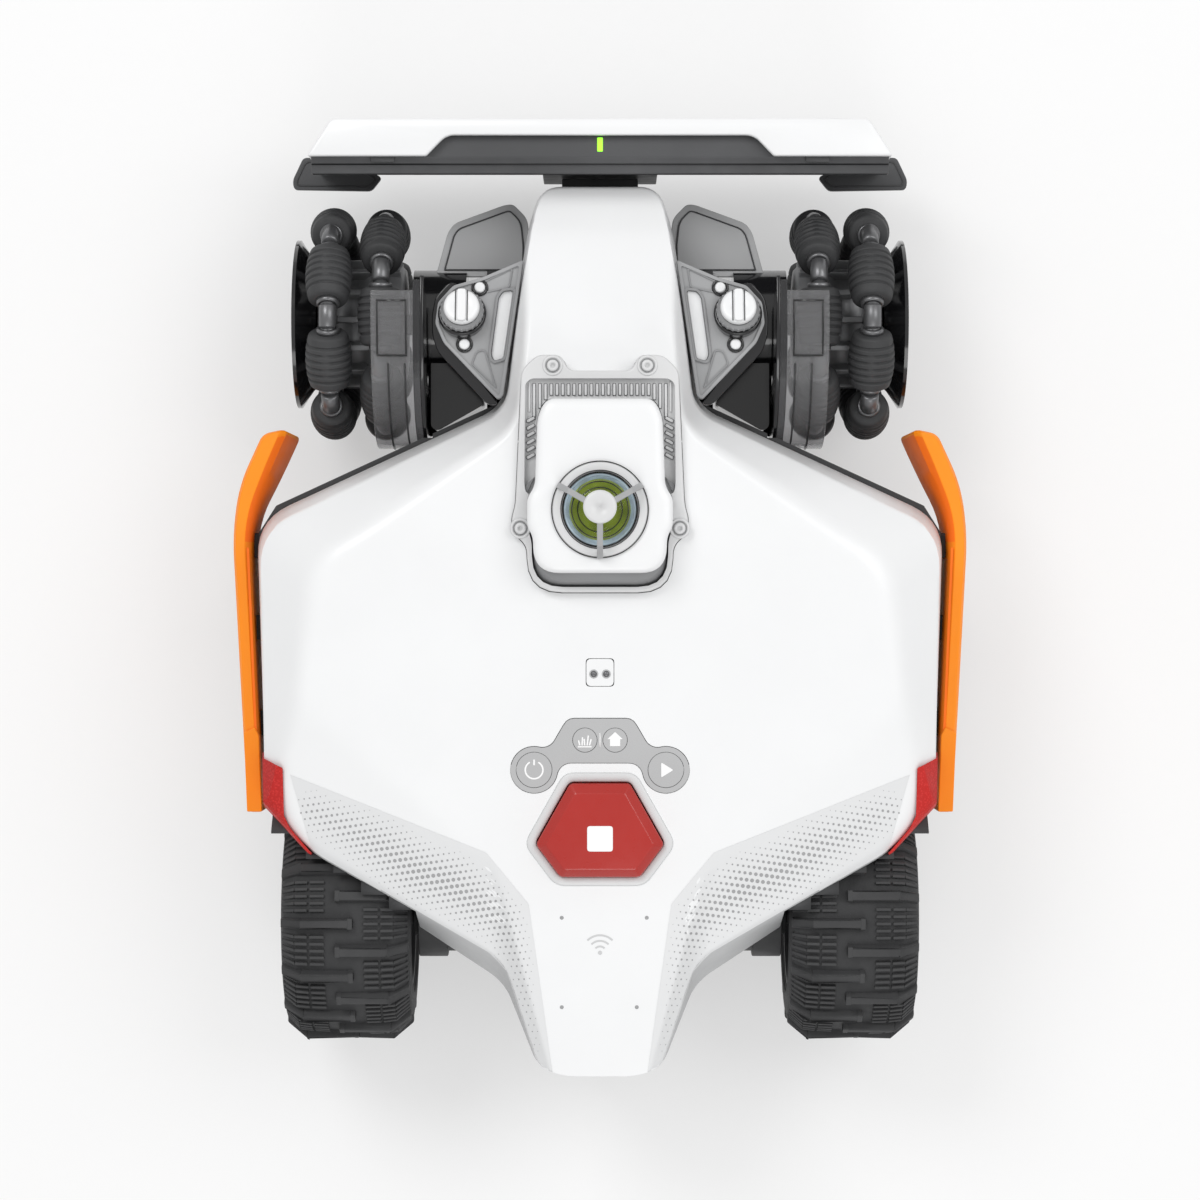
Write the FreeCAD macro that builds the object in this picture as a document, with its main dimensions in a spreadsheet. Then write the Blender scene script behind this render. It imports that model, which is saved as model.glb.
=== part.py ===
"""Robotic lawn mower: omni front wheels on swing arms, driven rear wheels, floating bumper, two cutting discs.

Millimetres. +X right, +Y forward (the way it mows), +Z up. The origin is on the ground, under the middle
of the machine's length and width. Sizes live in the sheet "Dims"; every sub-part is bound to it.
"""
import FreeCAD, Part
import math
import os
import re
import Sketcher

doc = FreeCAD.newDocument("mower")
sheet = doc.addObject("Spreadsheet::Sheet", "Dims")

DIMS = {
    "half_length": 345, "cover_half": 243, "rim_z": 128, "wall": 3, "deck_z": 226, "deck_tilt": 5,
    "floor_z": 58, "nose_half": 54, "hull_side": 236, "hull_rear": -120,
    "front_axle_y": 204, "front_axle_z": 86, "row_outer": 196, "row_inner": 158,
    "ring_rad": 69, "roller_mid": 17, "roller_end": 13.4, "roller_len": 42, "roller_pin": 5,
    "arm_pivot_x": 72, "arm_pivot_z": 92,
    "rear_axle_y": -231, "rear_wheel_rad": 92, "rear_wheel_x": 183, "tyre_wide": 93, "rim_rad": 55,
    "well_gap": 3.5, "lamp_proud": 1.2,
    "disc_x": 102, "disc_y": -4, "disc_rad": 76, "blade_z": 58, "blade_seat": 64,
    "guard_side": 267, "beam_half": 208, "bumper_z": 172, "arm_half": 28,
    "knob_x": 98.5, "knob_rad": 15.5, "tower_z": 172, "strut_tilt": 18,
    "lens_y": 62, "key_gap": 0.4, "run_gap": 0.05,
}
for row, (alias, value) in enumerate(DIMS.items(), start=1):
    sheet.set(f"A{row}", alias)
    sheet.set(f"B{row}", str(value))
    sheet.setAlias(f"B{row}", alias)
doc.recompute()

WORD = re.compile(r"[a-z][a-z_]*")
finished = []


def bound(text):
    """The same formula with each alias pointing at its cell."""
    return WORD.sub(lambda m: "Dims." + m.group(0) if m.group(0) in DIMS else m.group(0), str(text))


def number(text):
    """The formula's present value."""
    value = sheet.evalExpression(bound(text))
    return float(getattr(value, "Value", value))


def bind(obj, **sizes):
    for name, formula in sizes.items():
        obj.setExpression(name, bound(formula))
    return obj


def put(obj, x="0", y="0", z="0", axis=(0, 0, 1), turn="0"):
    """Places obj at a bound point, turned about an axis by a bound angle."""
    rotation = FreeCAD.Rotation(FreeCAD.Vector(*axis), number(turn))
    obj.Placement = FreeCAD.Placement(FreeCAD.Vector(number(x), number(y), number(z)), rotation)
    for path, formula in (("x", x), ("y", y), ("z", z)):
        obj.setExpression("Placement.Base." + path, bound(formula))
    if str(turn) != "0":
        obj.setExpression("Placement.Rotation.Angle", bound(turn))
    return obj


def plane_of(body, role):
    return next(f for f in body.Origin.OriginFeatures if f.Role == role)


def add_polygon(sketch, points):
    """A closed polygon whose corners are all held by bound distances from the origin."""
    spots = [FreeCAD.Vector(number(x), number(y), 0) for x, y in points]
    count = len(spots)
    first = sketch.GeometryCount
    lines = [Part.LineSegment(spots[k], spots[(k + 1) % count]) for k in range(count)]
    sketch.addGeometry(lines, False)
    for k in range(count):
        sketch.addConstraint(Sketcher.Constraint("Coincident", first + k, 2, first + (k + 1) % count, 1))
    for k, (x, y) in enumerate(points):
        for kind, formula, spot in (("DistanceX", x, spots[k].x), ("DistanceY", y, spots[k].y)):
            if abs(spot) < 1e-6:
                axis = -2 if kind == "DistanceX" else -1
                sketch.addConstraint(Sketcher.Constraint("PointOnObject", first + k, 1, axis))
                continue
            ends = (-1, 1, first + k, 1) if spot > 0 else (first + k, 1, -1, 1)
            index = sketch.addConstraint(Sketcher.Constraint(kind, *ends, abs(spot)))
            sketch.setExpression(f"Constraints[{index}]", bound(formula if spot > 0 else f"-({formula})"))


def new_sketch(body, role, offset):
    sketch = body.newObject("Sketcher::SketchObject", body.Label + "_sketch")
    sketch.AttachmentSupport = (plane_of(body, role), [""])
    sketch.MapMode = "FlatFace"
    sketch.setExpression("AttachmentOffset.Base.z", bound(offset))
    return sketch


def edges_along(shape, direction, spots=None):
    """Names of straight edges along a direction, at the given (u, v) spots across it."""
    names = []
    for k, edge in enumerate(shape.Edges, start=1):
        if not isinstance(edge.Curve, Part.Line):
            continue
        run = edge.Vertexes[1].Point - edge.Vertexes[0].Point
        if abs(abs(run.normalize().dot(direction)) - 1) > 1e-6:
            continue
        point = edge.Vertexes[0].Point
        if spots is None or any((point.x - u) ** 2 + (point.y - v) ** 2 < 0.01 for u, v in spots):
            names.append(f"Edge{k}")
    return names


def prism(label, points, low, height, radius=None, role="XY_Plane", chamfer_top=None, fillet_top=None):
    """A padded polygon. radius rounds its upright corners; the top edge may be chamfered or rounded."""
    body = doc.addObject("PartDesign::Body", label)
    body.Label = label
    sketch = new_sketch(body, role, low)
    add_polygon(sketch, points)
    pad = body.newObject("PartDesign::Pad", label + "_pad")
    pad.Profile = sketch
    bind(pad, Length=height)
    doc.recompute()
    if radius is not None:
        fillet = body.newObject("PartDesign::Fillet", label + "_corners")
        fillet.Base = (pad, edges_along(pad.Shape, sketch.Placement.Rotation.multVec(FreeCAD.Vector(0, 0, 1))))
        bind(fillet, Radius=radius)
        doc.recompute()
    for kind, size, prop in (("Chamfer", chamfer_top, "Size"), ("Fillet", fillet_top, "Radius")):
        if size is None:
            continue
        base = body.Tip
        top = max(range(len(base.Shape.Faces)), key=lambda k: base.Shape.Faces[k].CenterOfMass.z)
        edge = body.newObject("PartDesign::" + kind, label + "_top")
        edge.Base = (base, [f"Face{top + 1}"])
        bind(edge, **{prop: size})
        doc.recompute()
    return body


def turned(label, profile, axis_x="0", axis_y="0", axis_z="0", along="X", step=1):
    """A revolved body. profile is (distance along the axis, radius) pairs, and step mirrors it."""
    body = doc.addObject("PartDesign::Body", label)
    body.Label = label
    sketch = new_sketch(body, "XY_Plane", "0")
    if along == "X":
        add_polygon(sketch, [(f"{step}*({a})", r) for a, r in profile])
    else:
        add_polygon(sketch, [(r, a) for a, r in profile])
    revolution = body.newObject("PartDesign::Revolution", label + "_turn")
    revolution.Profile = sketch
    revolution.ReferenceAxis = (sketch, ["H_Axis" if along == "X" else "V_Axis"])
    revolution.Angle = 360
    if along == "X":
        put(body, axis_x, axis_y, axis_z)
    else:
        put(body, axis_x, axis_y, axis_z, (1, 0, 0), "90")
    doc.recompute()
    return body


AXES = {"X": ((0, 1, 0), "90"), "Y": ((1, 0, 0), "-90"), "Z": ((0, 0, 1), "0")}


def rod(label, radius, length, x="0", y="0", z="0", along="Z"):
    """A cylinder that starts at a point and runs along +X, +Y or +Z."""
    obj = doc.addObject("Part::Cylinder", label)
    bind(obj, Radius=radius, Height=length)
    axis, turn = AXES[along]
    return put(obj, x, y, z, axis, turn)


def block(label, x, y, z, wide, deep, high):
    """A box centred on x and y that stands on z."""
    obj = doc.addObject("Part::Box", label)
    bind(obj, Length=wide, Width=deep, Height=high)
    return put(obj, f"{x} - ({wide})/2", f"{y} - ({deep})/2", z)


def fuse(label, *shapes):
    obj = doc.addObject("Part::MultiFuse", label)
    obj.Shapes = list(shapes)
    return obj


def common(label, *shapes):
    obj = doc.addObject("Part::MultiCommon", label)
    obj.Shapes = list(shapes)
    return obj


def cut(label, base, *tools):
    """base with each tool taken away in turn."""
    for k, tool in enumerate(tools):
        obj = doc.addObject("Part::Cut", f"{label}_cut{k}" if k < len(tools) - 1 else label)
        obj.Base, obj.Tool = base, tool
        base = obj
    return base


def group(label, *shapes):
    obj = doc.addObject("Part::Compound", label)
    obj.Links = list(shapes)
    return obj


def node(name, obj):
    """Marks obj as the finished sub-part called name."""
    obj.Label = name
    finished.append((name, obj))
    return obj


def mirrored(points):
    """A closed outline, symmetrical in x, from its right half listed rear to front."""
    left = [(f"-({x})", y) for x, y in reversed(points) if str(x) != "0"]
    return list(points) + left


def grown(outline, by):
    """A right-half outline, listed rear to front, moved outward by a distance with mitred corners."""
    spots = [FreeCAD.Vector(number(x), number(y), 0) for x, y in outline]
    first, last = (FreeCAD.Vector(-spot.x, spot.y, 0) for spot in (spots[0], spots[-1]))
    spots = [first, *spots, last]
    moved = []
    for before, here, after, (x, y) in zip(spots, spots[1:], spots[2:], outline):
        runs = [(end - start).normalize() for start, end in ((before, here), (here, after))]
        sides_out = [FreeCAD.Vector(run.y, -run.x, 0) for run in runs]
        move = (sides_out[0] + sides_out[1]) * (by / (1 + sides_out[0].dot(sides_out[1])))
        moved.append((f"{x} + {move.x:.4f}", f"{y} + {move.y:.4f}"))
    return moved


def on_deck(obj):
    """Lifts a piece drawn at z = 0 on to the sloping rear deck of the cover."""
    return put(obj, "0", "0", "deck_z", (1, 0, 0), "deck_tilt")


# ---------------------------------------------------------------- cover and hull
# Right half of the cover's plan at its rim, its shoulder and its upper ridge, from tail to nose.
COVER_RINGS = [
    ("28", "-half_length", "26", "-338", "25", "-336"),
    ("46", "-338", "43", "-332", "42", "-330"),
    ("67", "-285", "66", "-264", "64", "-262"),
    ("75", "-275", "74", "-254", "76", "-240"),
    ("213", "-184", "206", "-178", "198", "-150"),
    ("cover_half", "-150", "cover_half - 5", "-142", "cover_half - 40", "-110"),
    ("cover_half + 7", "46", "cover_half - 2", "40", "cover_half - 52", "18"),
    ("238", "63.8", "227", "56", "170", "36"),
    ("71", "141", "66", "134", "59", "116"),
    ("61", "214", "57", "211", "40", "200"),
    ("52", "272", "48", "267", "30", "250"),
    ("32", "297", "29", "291", "18", "272"),
]
COVER_LEVELS = ("rim_z", "rim_z + 62", "deck_z + 10")
COVER_SIDE = [("-half_length - 2", "deck_z - 30.36"), ("0", "deck_z"), ("40", "deck_z + 3"),
              ("130", "deck_z + 1"), ("200", "deck_z - 20"), ("262", "deck_z - 50"), ("288", "deck_z - 72"),
              ("299", "rim_z + 4")]


# Three points on each sloping band behind the shoulders: two along its low edge and one on its high edge.
BANDS = {"shoulder": ((74, -254, 190), (206, -178, 190), (84, -178, 210.4)),
         "tail": ((44, -332, 189), (66, -264, 191), (34, -339, 196.3))}


def slicer(label, low, far, high, side, drop):
    """A block that rests on the plane through three points, to slice a sloping band off the cover."""
    low, far, high = (FreeCAD.Vector(side * x, y, z - drop) for x, y, z in (low, far, high))
    along = (far - low).normalize()
    up = along.cross(high - low).normalize()
    up = up if up.z > 0 else -up
    across = up.cross(along)
    turn = FreeCAD.Rotation(along, across, up, "XYZ")
    obj = doc.addObject("Part::Box", label)
    bind(obj, Length="800", Width="800", Height="500")
    obj.Placement = FreeCAD.Placement(low - along * 400 - across * 400, turn)
    return obj


def cover_form(label, inset, drop):
    """The cover's outer form, or with an inset and a drop the space inside it."""
    body = doc.addObject("PartDesign::Body", label)
    body.Label = label
    sketches = []
    for level, height in enumerate(COVER_LEVELS):
        half = []
        for ring in COVER_RINGS:
            x, y = ring[2 * level], ring[2 * level + 1]
            half.append((f"{x} - {inset}", f"{y} + {inset}" if y.startswith("-") else f"{y} - {inset}"))
        sketch = new_sketch(body, "XY_Plane", f"{height} - {drop}")
        add_polygon(sketch, mirrored(half))
        sketches.append(sketch)
    loft = body.newObject("PartDesign::AdditiveLoft", label + "_loft")
    loft.Profile = sketches[0]
    loft.Sections = sketches[1:]
    loft.Ruled = True
    doc.recompute()
    profile = [("-half_length - 2", "rim_z - 20")] + [(y, f"{z} - {drop}") for y, z in COVER_SIDE]
    side = prism(label + "_side", profile + [("299", "rim_z - 20")], "-250", "500", role="YZ_Plane")
    slices = [common(f"{label}_slice{k}", *[slicer(f"{label}_{word}{k}", *points, s, number(drop))
                                           for word, points in BANDS.items()]) for k, s in enumerate((-1, 1))]
    return cut(label + "_form", common(label + "_common", body, side), *slices)


STOP_OUTLINE = [("28", "-195"), ("45", "-172"), ("21", "-129")]


def keypad_form(label, shrink, low, height):
    """The keypad's arch: two round ends joined by a bar over the stop button."""
    lobes = [rod(f"{label}_lobe{k}", f"16.3 - {shrink}", height, f"{s}*45.8", "-118", low)
             for k, s in enumerate((-1, 1))]
    half = [(f"26 + {shrink}", f"-107.5 + {shrink}"), (f"40 - {shrink}", "-128"), ("52", f"-104 - {shrink}"),
            (f"40 - {shrink}", "-100"), (f"31 - {shrink}", f"-82 - {shrink}")]
    return fuse(label, *lobes, prism(label + "_bar", mirrored(half), low, height, "2.5"))


KEYS = [("power_key", "12.5", "-45.8", "-118"), ("start_key", "12.5", "45.8", "-118"),
        ("mow_key", "8.5", "-10.5", "-95.5"), ("home_key", "8.5", "10.5", "-95.5")]
SCANNER_BASE = [("38", "2"), ("49", "13"), ("51", "38"), ("60", "46"), ("62", "56"), ("59", "66"),
                ("57", "110"), ("55", "160"), ("44", "171"), ("27", "171"), ("22", "160")]
SCANNER_HEAD = [("37", "8"), ("46", "19"), ("47", "42"), ("50", "50"), ("50", "72"), ("44.5", "80"),
                ("43.5", "128"), ("38", "140")]
SCANNER_SCREWS = [("-33", "163.5"), ("33", "163.5"), ("-55.5", "50"), ("55.5", "50")]


def wheel_wells(label, margin, start, length):
    """Cylinders round both rear wheels, from a distance beside the middle outward."""
    begins = (f"-({start}) - {length}", start)
    return [rod(f"{label}{k}", f"rear_wheel_rad + {margin}", length, begin, "rear_axle_y", "rear_wheel_rad", "X")
            for k, begin in enumerate(begins)]


def cover():
    outer = cover_form("cover_outer", "0", "0")
    inner = cut("cover_room", cover_form("cover_inner", "wall", "wall"),
                *wheel_wells("well_wall", "well_gap + wall", "128", "140"))
    skirt = block("cover_skirt_gap", "0", "0", "rim_z - 30", "600", "800", "30")
    holes = [on_deck(prism("stop_hole", mirrored(grown(STOP_OUTLINE, 2.2)), "-30", "60")),
             on_deck(keypad_form("keypad_hole", "-0.6", "-30", "60")),
             on_deck(group("rain_seat", block("rain_hole", "0", "-51", "-30", "20", "20", "60"))),
             prism("scanner_hole", mirrored(grown(SCANNER_BASE, 0.5)), "deck_z - 30", "60", "3.5")]
    wells = wheel_wells("well", "well_gap", "131", "140")
    return node("top_cover", cut("top_cover_solid", outer, inner, skirt, *wells, *holes))


HULL_HALF = [("36", "-338"), ("58", "-262"), ("60", "hull_rear"), ("hull_side", "hull_rear"),
             ("hull_side", "48"), ("220", "64"), ("68", "129"), ("nose_half", "146"), ("50", "262"), ("40", "288")]
HULL_BROW = [("60", "30"), ("cover_half + 5.5", "30"), ("cover_half + 5.5", "49"), ("236", "68.8"),
             ("73", "144"), ("60", "149")]
BLADE_OPENING = [("212", "hull_rear + 6"), ("214", "40"), ("196", "62"), ("60", "120")]


def hull():
    tub = prism("hull_block", mirrored(HULL_HALF), "floor_z", "rim_z - floor_z - 1", "4")
    reliefs = [rod(f"brow_relief{k}", "95", "46", begin, "front_axle_y", "front_axle_z", "X")
               for k, begin in enumerate(("-168", "122"))]
    brow = cut("hull_brow_trimmed", prism("hull_brow", mirrored(HULL_BROW), "rim_z - 7", "6", "2"), *reliefs)
    shell = fuse("hull_outside", tub, brow)
    hollow_half = [("33", "-335"), ("55", "-261"), ("57", "hull_rear + 3"), ("hull_side - 3", "hull_rear + 3"),
                   ("hull_side - 3", "46"), ("218", "60"), ("66", "126"), ("nose_half - 3", "144"),
                   ("47", "261"), ("37.5", "285")]
    hollow = prism("hull_hollow", mirrored(hollow_half), "floor_z + 4", "100", "3")
    opening = prism("hull_opening", mirrored(BLADE_OPENING), "floor_z - 5", "20", "10")
    arm_slot = block("hull_arm_slot", "0", "286", "82", "arm_half*2 + 3", "14", "24")
    motor_slots = [rod(f"hull_motor_slot{k}", "29", "30", f"{s}*58 - 15", "rear_axle_y", "rear_wheel_rad", "X")
                   for k, s in enumerate((-1, 1))]
    shaved = cut("hull_shell", shell, hollow, opening, arm_slot, *motor_slots)
    lugs = []
    for k, s in enumerate((-1, 1)):
        for at, y in enumerate(("front_axle_y - 34", "front_axle_y + 34")):
            lug = block(f"hull_lug{k}{at}", f"{s}*65", y, "78", "36", "8", "28")
            lugs.append(cut(f"hull_lug_bored{k}{at}", lug, rod(f"hull_lug_bore{k}{at}", "5 + run_gap", "20",
                            f"{s}*arm_pivot_x", f"{y} - 10", "arm_pivot_z", "Y")))
    pad = block("hull_rest_pad", "0", "-205", "floor_z - 2", "84", "110", "2")
    core = cut("hull_lug_room", fuse("hull_lugs", *lugs),
               prism("hull_lug_clear", mirrored(hollow_half), "floor_z + 4", "100"))
    return node("lower_hull", fuse("lower_hull_solid", shaved, core, pad))


def deck_controls():
    ring = fuse("stop_ring", prism("stop_ring_flat", mirrored(grown(STOP_OUTLINE, 7)), "0", "1.2", "5"),
                prism("stop_ring_wall", mirrored(grown(STOP_OUTLINE, 2)), "-12", "13"))
    node("stop_bezel", on_deck(cut("stop_bezel_solid", ring, prism("stop_ring_room", mirrored(
        grown(STOP_OUTLINE, 0.4)), "-20", "40"))))
    button = prism("stop_cap", mirrored(STOP_OUTLINE), "-8", "19", chamfer_top="5")
    node("stop_button", on_deck(fuse("stop_piece", button, rod("stop_stem", "6", "14", "0", "-165", "-21"))))
    key_holes = [rod(f"key_hole{k}", f"{r} + key_gap", "20", x, y, "-10")
                 for k, (_, r, x, y) in enumerate(KEYS)]
    panel = cut("keypad_plate", keypad_form("keypad_body", "0", "-6", "6.6"), *key_holes)
    webs = [block(f"keypad_web{k}", f"{s}*26", "-98", "-9", "4", "4", "4") for k, s in enumerate((-1, 1))]
    node("keypad_panel", on_deck(fuse("keypad_piece", panel, keypad_form("keypad_back", "1", "-9", "1"), *webs)))
    for name, radius, x, y in KEYS:
        cap = rod(name + "_cap", radius, "7", x, y, "-6")
        flange = rod(name + "_flange", f"{radius} + 1.2", "0.8", x, y, "-6.8")
        node(name, on_deck(fuse(name + "_piece", cap, flange)))
    sensor = block("rain_plate", "0", "-51", "-4", "19", "19", "4.4")
    studs = [rod(f"rain_stud{k}", "2", "3", f"{s}*4.4", "-52", "0") for k, s in enumerate((-1, 1))]
    node("rain_sensor", on_deck(fuse("rain_piece", sensor, *studs)))


# ---------------------------------------------------------------- scanner module
def scanner():
    base = prism("scanner_base_block", mirrored(SCANNER_BASE), "deck_z - 22", "31", "4", fillet_top="2")
    pocket = prism("scanner_pocket", mirrored(grown(SCANNER_HEAD, 0.5)), "deck_z - 19", "60", "5.5")
    seats = [rod(f"scanner_seat{k}", "2.1", "40", x, y, "deck_z - 12")
             for k, (x, y) in enumerate(SCANNER_SCREWS)]
    node("scanner_base", cut("scanner_base_solid", base, pocket, *seats))
    head = prism("scanner_head_block", mirrored(SCANNER_HEAD), "deck_z - 19", "47", "5", fillet_top="3")
    well = rod("scanner_well", "26", "30", "0", "lens_y", "deck_z + 12")
    node("scanner_head", cut("scanner_head_bored", head, well))
    dome_profile = [("0", "0"), ("0", "25.5"), ("4", "25.5"), ("4", "23"), ("11", "22"), ("18", "19"),
                    ("23", "14"), ("25", "7"), ("25.6", "0")]
    node("scanner_dome", turned("scanner_dome_turn", dome_profile, "0", "lens_y", "deck_z + 12.1", along="Z"))
    ring = cut("guard_ring", rod("guard_ring_out", "33", "3", "0", "lens_y", "deck_z + 28"),
               rod("guard_ring_in", "27", "5", "0", "lens_y", "deck_z + 27"))
    hub = rod("guard_hub", "11.6", "4", "0", "lens_y", "deck_z + 43")
    spokes = []
    for k in range(3):
        post = block(f"guard_post{k}", "30.5", "0", "deck_z + 30", "4", "4", "13")
        bridge = block(f"guard_bridge{k}", "20.5", "0", "deck_z + 42", "24", "4", "4")
        spoke = fuse(f"guard_spoke{k}", post, bridge)
        spokes.append(put(spoke, "0", "lens_y", "0", (0, 0, 1), f"120*{k} - 90"))
    node("scanner_guard", fuse("scanner_guard_solid", ring, hub, *spokes))


# ---------------------------------------------------------------- side guards and tail lamps
GUARD_OUTLINE = [("244.8", "-154"), ("256", "-154"), ("guard_side", "48"), ("262", "84"), ("245", "121"),
                 ("220", "121"), ("233", "92"), ("251.6", "56")]
LAMP_OUTLINE = [("252", "-107"), ("224", "-118.5"), ("224", "-153"), ("220", "-162"), ("205", "-180"),
                ("213", "-192"), ("252", "-156")]


def sides():
    lamps = []
    skin = cut("lamp_skin", cover_form("lamp_outside", "-lamp_proud", "-lamp_proud"),
               cover_form("lamp_seat", "0", "0"), *wheel_wells("lamp_well", "well_gap", "131", "140"))
    for word, s in (("left", -1), ("right", 1)):
        outline = [(f"{s}*({x})", y) for x, y in GUARD_OUTLINE]
        bar = prism(f"guard_bar_{word}", outline, "98", "42", "2.5", chamfer_top="1.2")
        pegs = [block(f"guard_peg_{word}{k}", f"{s}*(hull_side + 9)", y, "103", "18", "18", "17")
                for k, y in enumerate(("-90", "-20", "40"))]
        node(f"side_guard_{word}", fuse(f"side_guard_{word}_solid", bar, *pegs))
        outline = [(f"{s}*({x})", y) for x, y in LAMP_OUTLINE]
        plan = prism(f"lamp_plan_{word}", outline, "rim_z + 14", "90", "1.5")
        lamps.append(common(f"tail_lamp_{word}", plan, skin))
    node("tail_lamps", group("tail_lamp_pair", *lamps))


# ---------------------------------------------------------------- floating bumper
def bumper():
    section = [("310", "66"), ("314", "56"), ("330", "56"), ("338", "66"), ("338", "bumper_z - 16"),
               ("334", "bumper_z - 8"), ("318", "bumper_z - 8"), ("312", "bumper_z - 13"),
               ("307", "bumper_z - 16"), ("307", "bumper_z - 22"), ("310", "bumper_z - 25")]
    bar = prism("bumper_beam_bar", section, "-beam_half", "beam_half*2", role="YZ_Plane")
    ends = prism("bumper_beam_ends", mirrored([("beam_half + 1", "318"), ("beam_half - 14", "339")]), "50", "130")
    rear = block("bumper_beam_rear", "0", "311", "50", "beam_half*2 + 2", "14.2", "130")
    beam = common("bumper_beam_trimmed", bar, fuse("bumper_beam_plan", ends, rear))
    pocket = block("bumper_lamp_pocket", "0", "327", "bumper_z - 12", "4.4", "10.4", "10")
    flaps = [prism(f"bumper_flap{k}", [(f"{s}*222", "331"), (f"{s}*230", "314"), (f"{s}*229", "307"),
                   (f"{s}*171", "306"), (f"{s}*163", "316"), (f"{s}*190", "331")], "56", "5")
             for k, s in enumerate((-1, 1))]
    node("bumper_beam", cut("bumper_beam_cut", fuse("bumper_beam_solid", beam, *flaps), pocket))
    node("status_lamp", block("status_lamp_bar", "0", "327", "bumper_z - 12", "4", "10", "4.6"))
    cap = prism("bumper_cap_block", mirrored([("210", "318"), ("192.5", "half_length")]), "62", "bumper_z - 62")
    room = block("bumper_cap_room", "0", "308", "40", "460", "61", "bumper_z - 47")
    notch_half = [("131", "296"), ("124.5", "320"), ("110", "333")]
    notch = prism("bumper_cap_notch", mirrored(notch_half), "bumper_z - 28", "60")
    node("bumper_cap", cut("bumper_cap_solid", cap, room, notch))
    arm = block("bumper_arm_bar", "0", "286", "86", "arm_half*2", "48", "16")
    stop = block("bumper_arm_stop", "0", "266", "80", "70", "8", "26")
    node("bumper_arm", fuse("bumper_arm_solid", arm, stop))


# ---------------------------------------------------------------- swing arms, struts and front wheels
def solid(name, shape, x="0", y="0", z="0"):
    """A sub-part that only Part's own functions can make, such as a ring of tilted rollers."""
    obj = doc.addObject("Part::Feature", name)
    obj.Shape = shape
    return node(name, put(obj, x, y, z))


def ring_copies(shape, count, phase=0.0):
    """Copies of a shape spaced round the X axis."""
    copies = []
    for k in range(count):
        turned_copy = shape.copy()
        turned_copy.rotate(FreeCAD.Vector(), FreeCAD.Vector(1, 0, 0), (k + phase) * 360.0 / count)
        copies.append(turned_copy)
    return copies


def along_strut(label, radius, low, height, s):
    """A rod on the tilted strut's axis; low is measured from the tower's top face."""
    obj = doc.addObject("Part::Cylinder", label)
    bind(obj, Radius=radius, Height=height)
    lean = FreeCAD.Rotation(FreeCAD.Vector(1, 0, 0), -number("strut_tilt"))
    foot = FreeCAD.Vector(number(f"{s}*knob_x"), number("front_axle_y"), number("tower_z"))
    obj.Placement = FreeCAD.Placement(foot + lean.multVec(FreeCAD.Vector(0, 0, number(low))), lean)
    obj.setExpression("Placement.Base.x", bound(f"{s}*knob_x"))
    return obj


TOWER_SCREWS = [("86", "223.5"), ("97", "183")]
TOWER_OUTLINE = [("71", "146"), ("73", "143"), ("112", "184"), ("118", "198"), ("116", "213"), ("105", "225"),
                 ("84", "231"), ("57", "243.5")]
TOWER_SLOT = [("68", "174"), ("72", "171"), ("75.5", "176"), ("70.5", "213"), ("66", "218.5"),
              ("62.5", "216.5")]


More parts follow.
